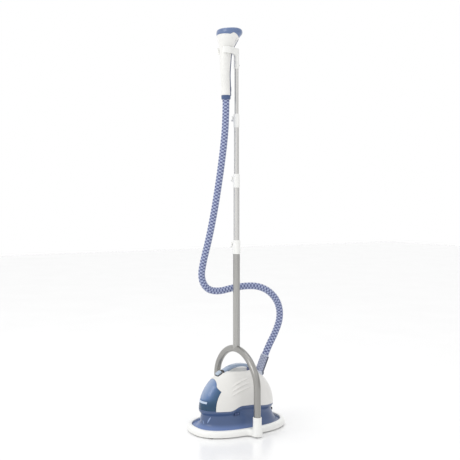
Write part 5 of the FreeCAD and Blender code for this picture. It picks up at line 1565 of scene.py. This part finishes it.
def make_hoop():
    """Swept tube: two upright legs, two shoulders and a crown."""
    shoulder_x = LEG_X - HOOP_SHOULDER_R
    rise = HOOP_APEX_Z - HOOP_SHOULDER_Z
    crown = (shoulder_x ** 2 + rise ** 2 - HOOP_SHOULDER_R ** 2) / (2 * (rise - HOOP_SHOULDER_R))
    crown_z = HOOP_APEX_Z - crown
    turn = math.atan2(shoulder_x, HOOP_SHOULDER_Z - crown_z)
    line = []
    for k in range(12):
        line.append((Vector((LEG_X, 0, 0.014 + (HOOP_SHOULDER_Z - 0.014) * k / 12)), Vector((0, 0, 1))))
    for k in range(48):
        phi = (math.pi / 2 - turn) * k / 48
        line.append((Vector((shoulder_x + HOOP_SHOULDER_R * math.cos(phi), 0,
                             HOOP_SHOULDER_Z + HOOP_SHOULDER_R * math.sin(phi))),
                     Vector((-math.sin(phi), 0, math.cos(phi)))))
    for k in range(25):
        phi = turn * (1 - k / 24)
        line.append((Vector((crown * math.sin(phi), 0, crown_z + crown * math.cos(phi))),
                     Vector((-math.cos(phi), 0, math.sin(phi)))))
    mirrored = [(Vector((-p.x, 0, p.z)), Vector((t.x, 0, -t.z))) for p, t in reversed(line[:-1])]
    rings = []
    for point, tangent in line + mirrored:
        up = tangent.cross(Vector((0, 1, 0)))
        ring = []
        for i in range(64):
            phi = 2 * math.pi * i / 64
            ring.append(point + (up * math.cos(phi) + Vector((0, 1, 0)) * math.sin(phi)) * HOOP_R)
        rings.append(ring)
    new_piece("hoop", skin(rings, cap_low=True, cap_high=True), HOOP_TUBE, STAND, "satin_tube", ("hoop_tube",))
    low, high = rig.box("pole_tube_1")
    profile = ((0.0118, low.z), (0.0129, low.z), (0.0129, high.z - TUBE_TOP_EDGE),
               (0.0125, high.z), (0.0118, high.z))
    new_piece("tube_1", lathe(profile, count=80, close=True), TUBE, STAND, "satin_tube", ("pole_tube_1",))


# ---------------------------------------------------------------- scene

def aim(item, target):
    item.rotation_euler = (Vector(target) - item.location).to_track_quat("-Z", "Y").to_euler()


def soft_box(name, location, target, size, power, colour=(1, 1, 1)):
    light = bpy.data.lights.new(name, "AREA")
    light.shape = "RECTANGLE"
    light.size, light.size_y = size
    light.energy = power
    light.color = colour
    lamp = bpy.data.objects.new(name, light)
    bpy.context.scene.collection.objects.link(lamp)
    lamp.location = location
    aim(lamp, target)


def make_studio():
    world = bpy.data.worlds.new("studio")
    world.use_nodes = True
    tree = world.node_tree
    background = tree.nodes["Background"]
    # White all round, with a dim side towards +X +Y that gives the tubes and the dome their shade
    where = add(tree, "ShaderNodeTexCoord")
    towards = add(tree, "ShaderNodeVectorMath", operation="DOT_PRODUCT")
    towards.inputs[1].default_value = (0.62, 0.78, -0.05)
    tree.links.new(where.outputs["Generated"], towards.inputs[0])
    shade = ramp(tree, towards.outputs["Value"], ((0.48, (1.0, 1.0, 1.0)), (0.72, (0.81, 0.81, 0.82)),
                                                  (0.95, (0.60, 0.60, 0.61))))
    tree.links.new(shade, background.inputs["Color"])
    background.inputs["Strength"].default_value = 1.0
    bpy.context.scene.world = world
    soft_box("key", (0.2, -3.0, 2.4), (0, 0, 0.5), (1.4, 1.8), 20)
    soft_box("fill", (2.0, 1.0, 2.0), (0, 0, 1.4), (0.8, 0.8), 2)
    soft_box("top", (-0.6, -0.2, 3.4), (0, 0, 0.6), (1.6, 1.6), 8)

    material, tree, shader = blank_material("studio_floor")
    tone = noise(tree, 3, 2)
    colour = ramp(tree, tone.outputs["Fac"], ((0.3, (0.94, 0.94, 0.94)), (0.7, (0.96, 0.96, 0.96))))
    tree.links.new(colour, shader.inputs["Base Color"])
    shader.inputs["Roughness"].default_value = 0.22
    shader.inputs["Specular IOR Level"].default_value = 0.5
    size = 9.0
    corners = [Vector((x * size, y * size, -0.0002)) for x, y in ((-1, -1), (1, -1), (1, 1), (-1, 1))]
    floor = new_piece("studio_floor", (corners, [(0, 1, 2, 3)]), material)
    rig.stage(floor)

    scene = bpy.context.scene
    scene.view_settings.view_transform = "Standard"
    camera = bpy.data.cameras.new("camera")
    camera.lens = 59.2
    camera.sensor_width = 36
    camera.shift_y = -0.0674
    viewer = bpy.data.objects.new("camera", camera)
    scene.collection.objects.link(viewer)
    viewer.location = (2.400, -1.442, 0.842)
    heading = math.atan2(1.442, -2.400) + math.radians(0.49)
    look = Vector((math.cos(heading), math.sin(heading), 0))
    viewer.rotation_euler = look.to_track_quat("-Z", "Y").to_euler()
    scene.camera = viewer


paint_cad_nodes()
make_ring()
make_tray()
make_feet()
make_lower_housing()
make_grip_edges()
make_badge()
make_flutes()
make_release_button()
make_handle()
make_switch()
make_inlet()
make_cuff()
make_hose()
make_hoop()
make_tubes()
make_clamps()
make_cradle()
make_shells()
make_spine()
make_collar()
make_cap()
make_vents()
make_studio()

built_box = [list(corner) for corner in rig.bounds()]
with open("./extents.json", "w") as handle:
    json.dump({"cad": cad_box, "built": built_box}, handle)
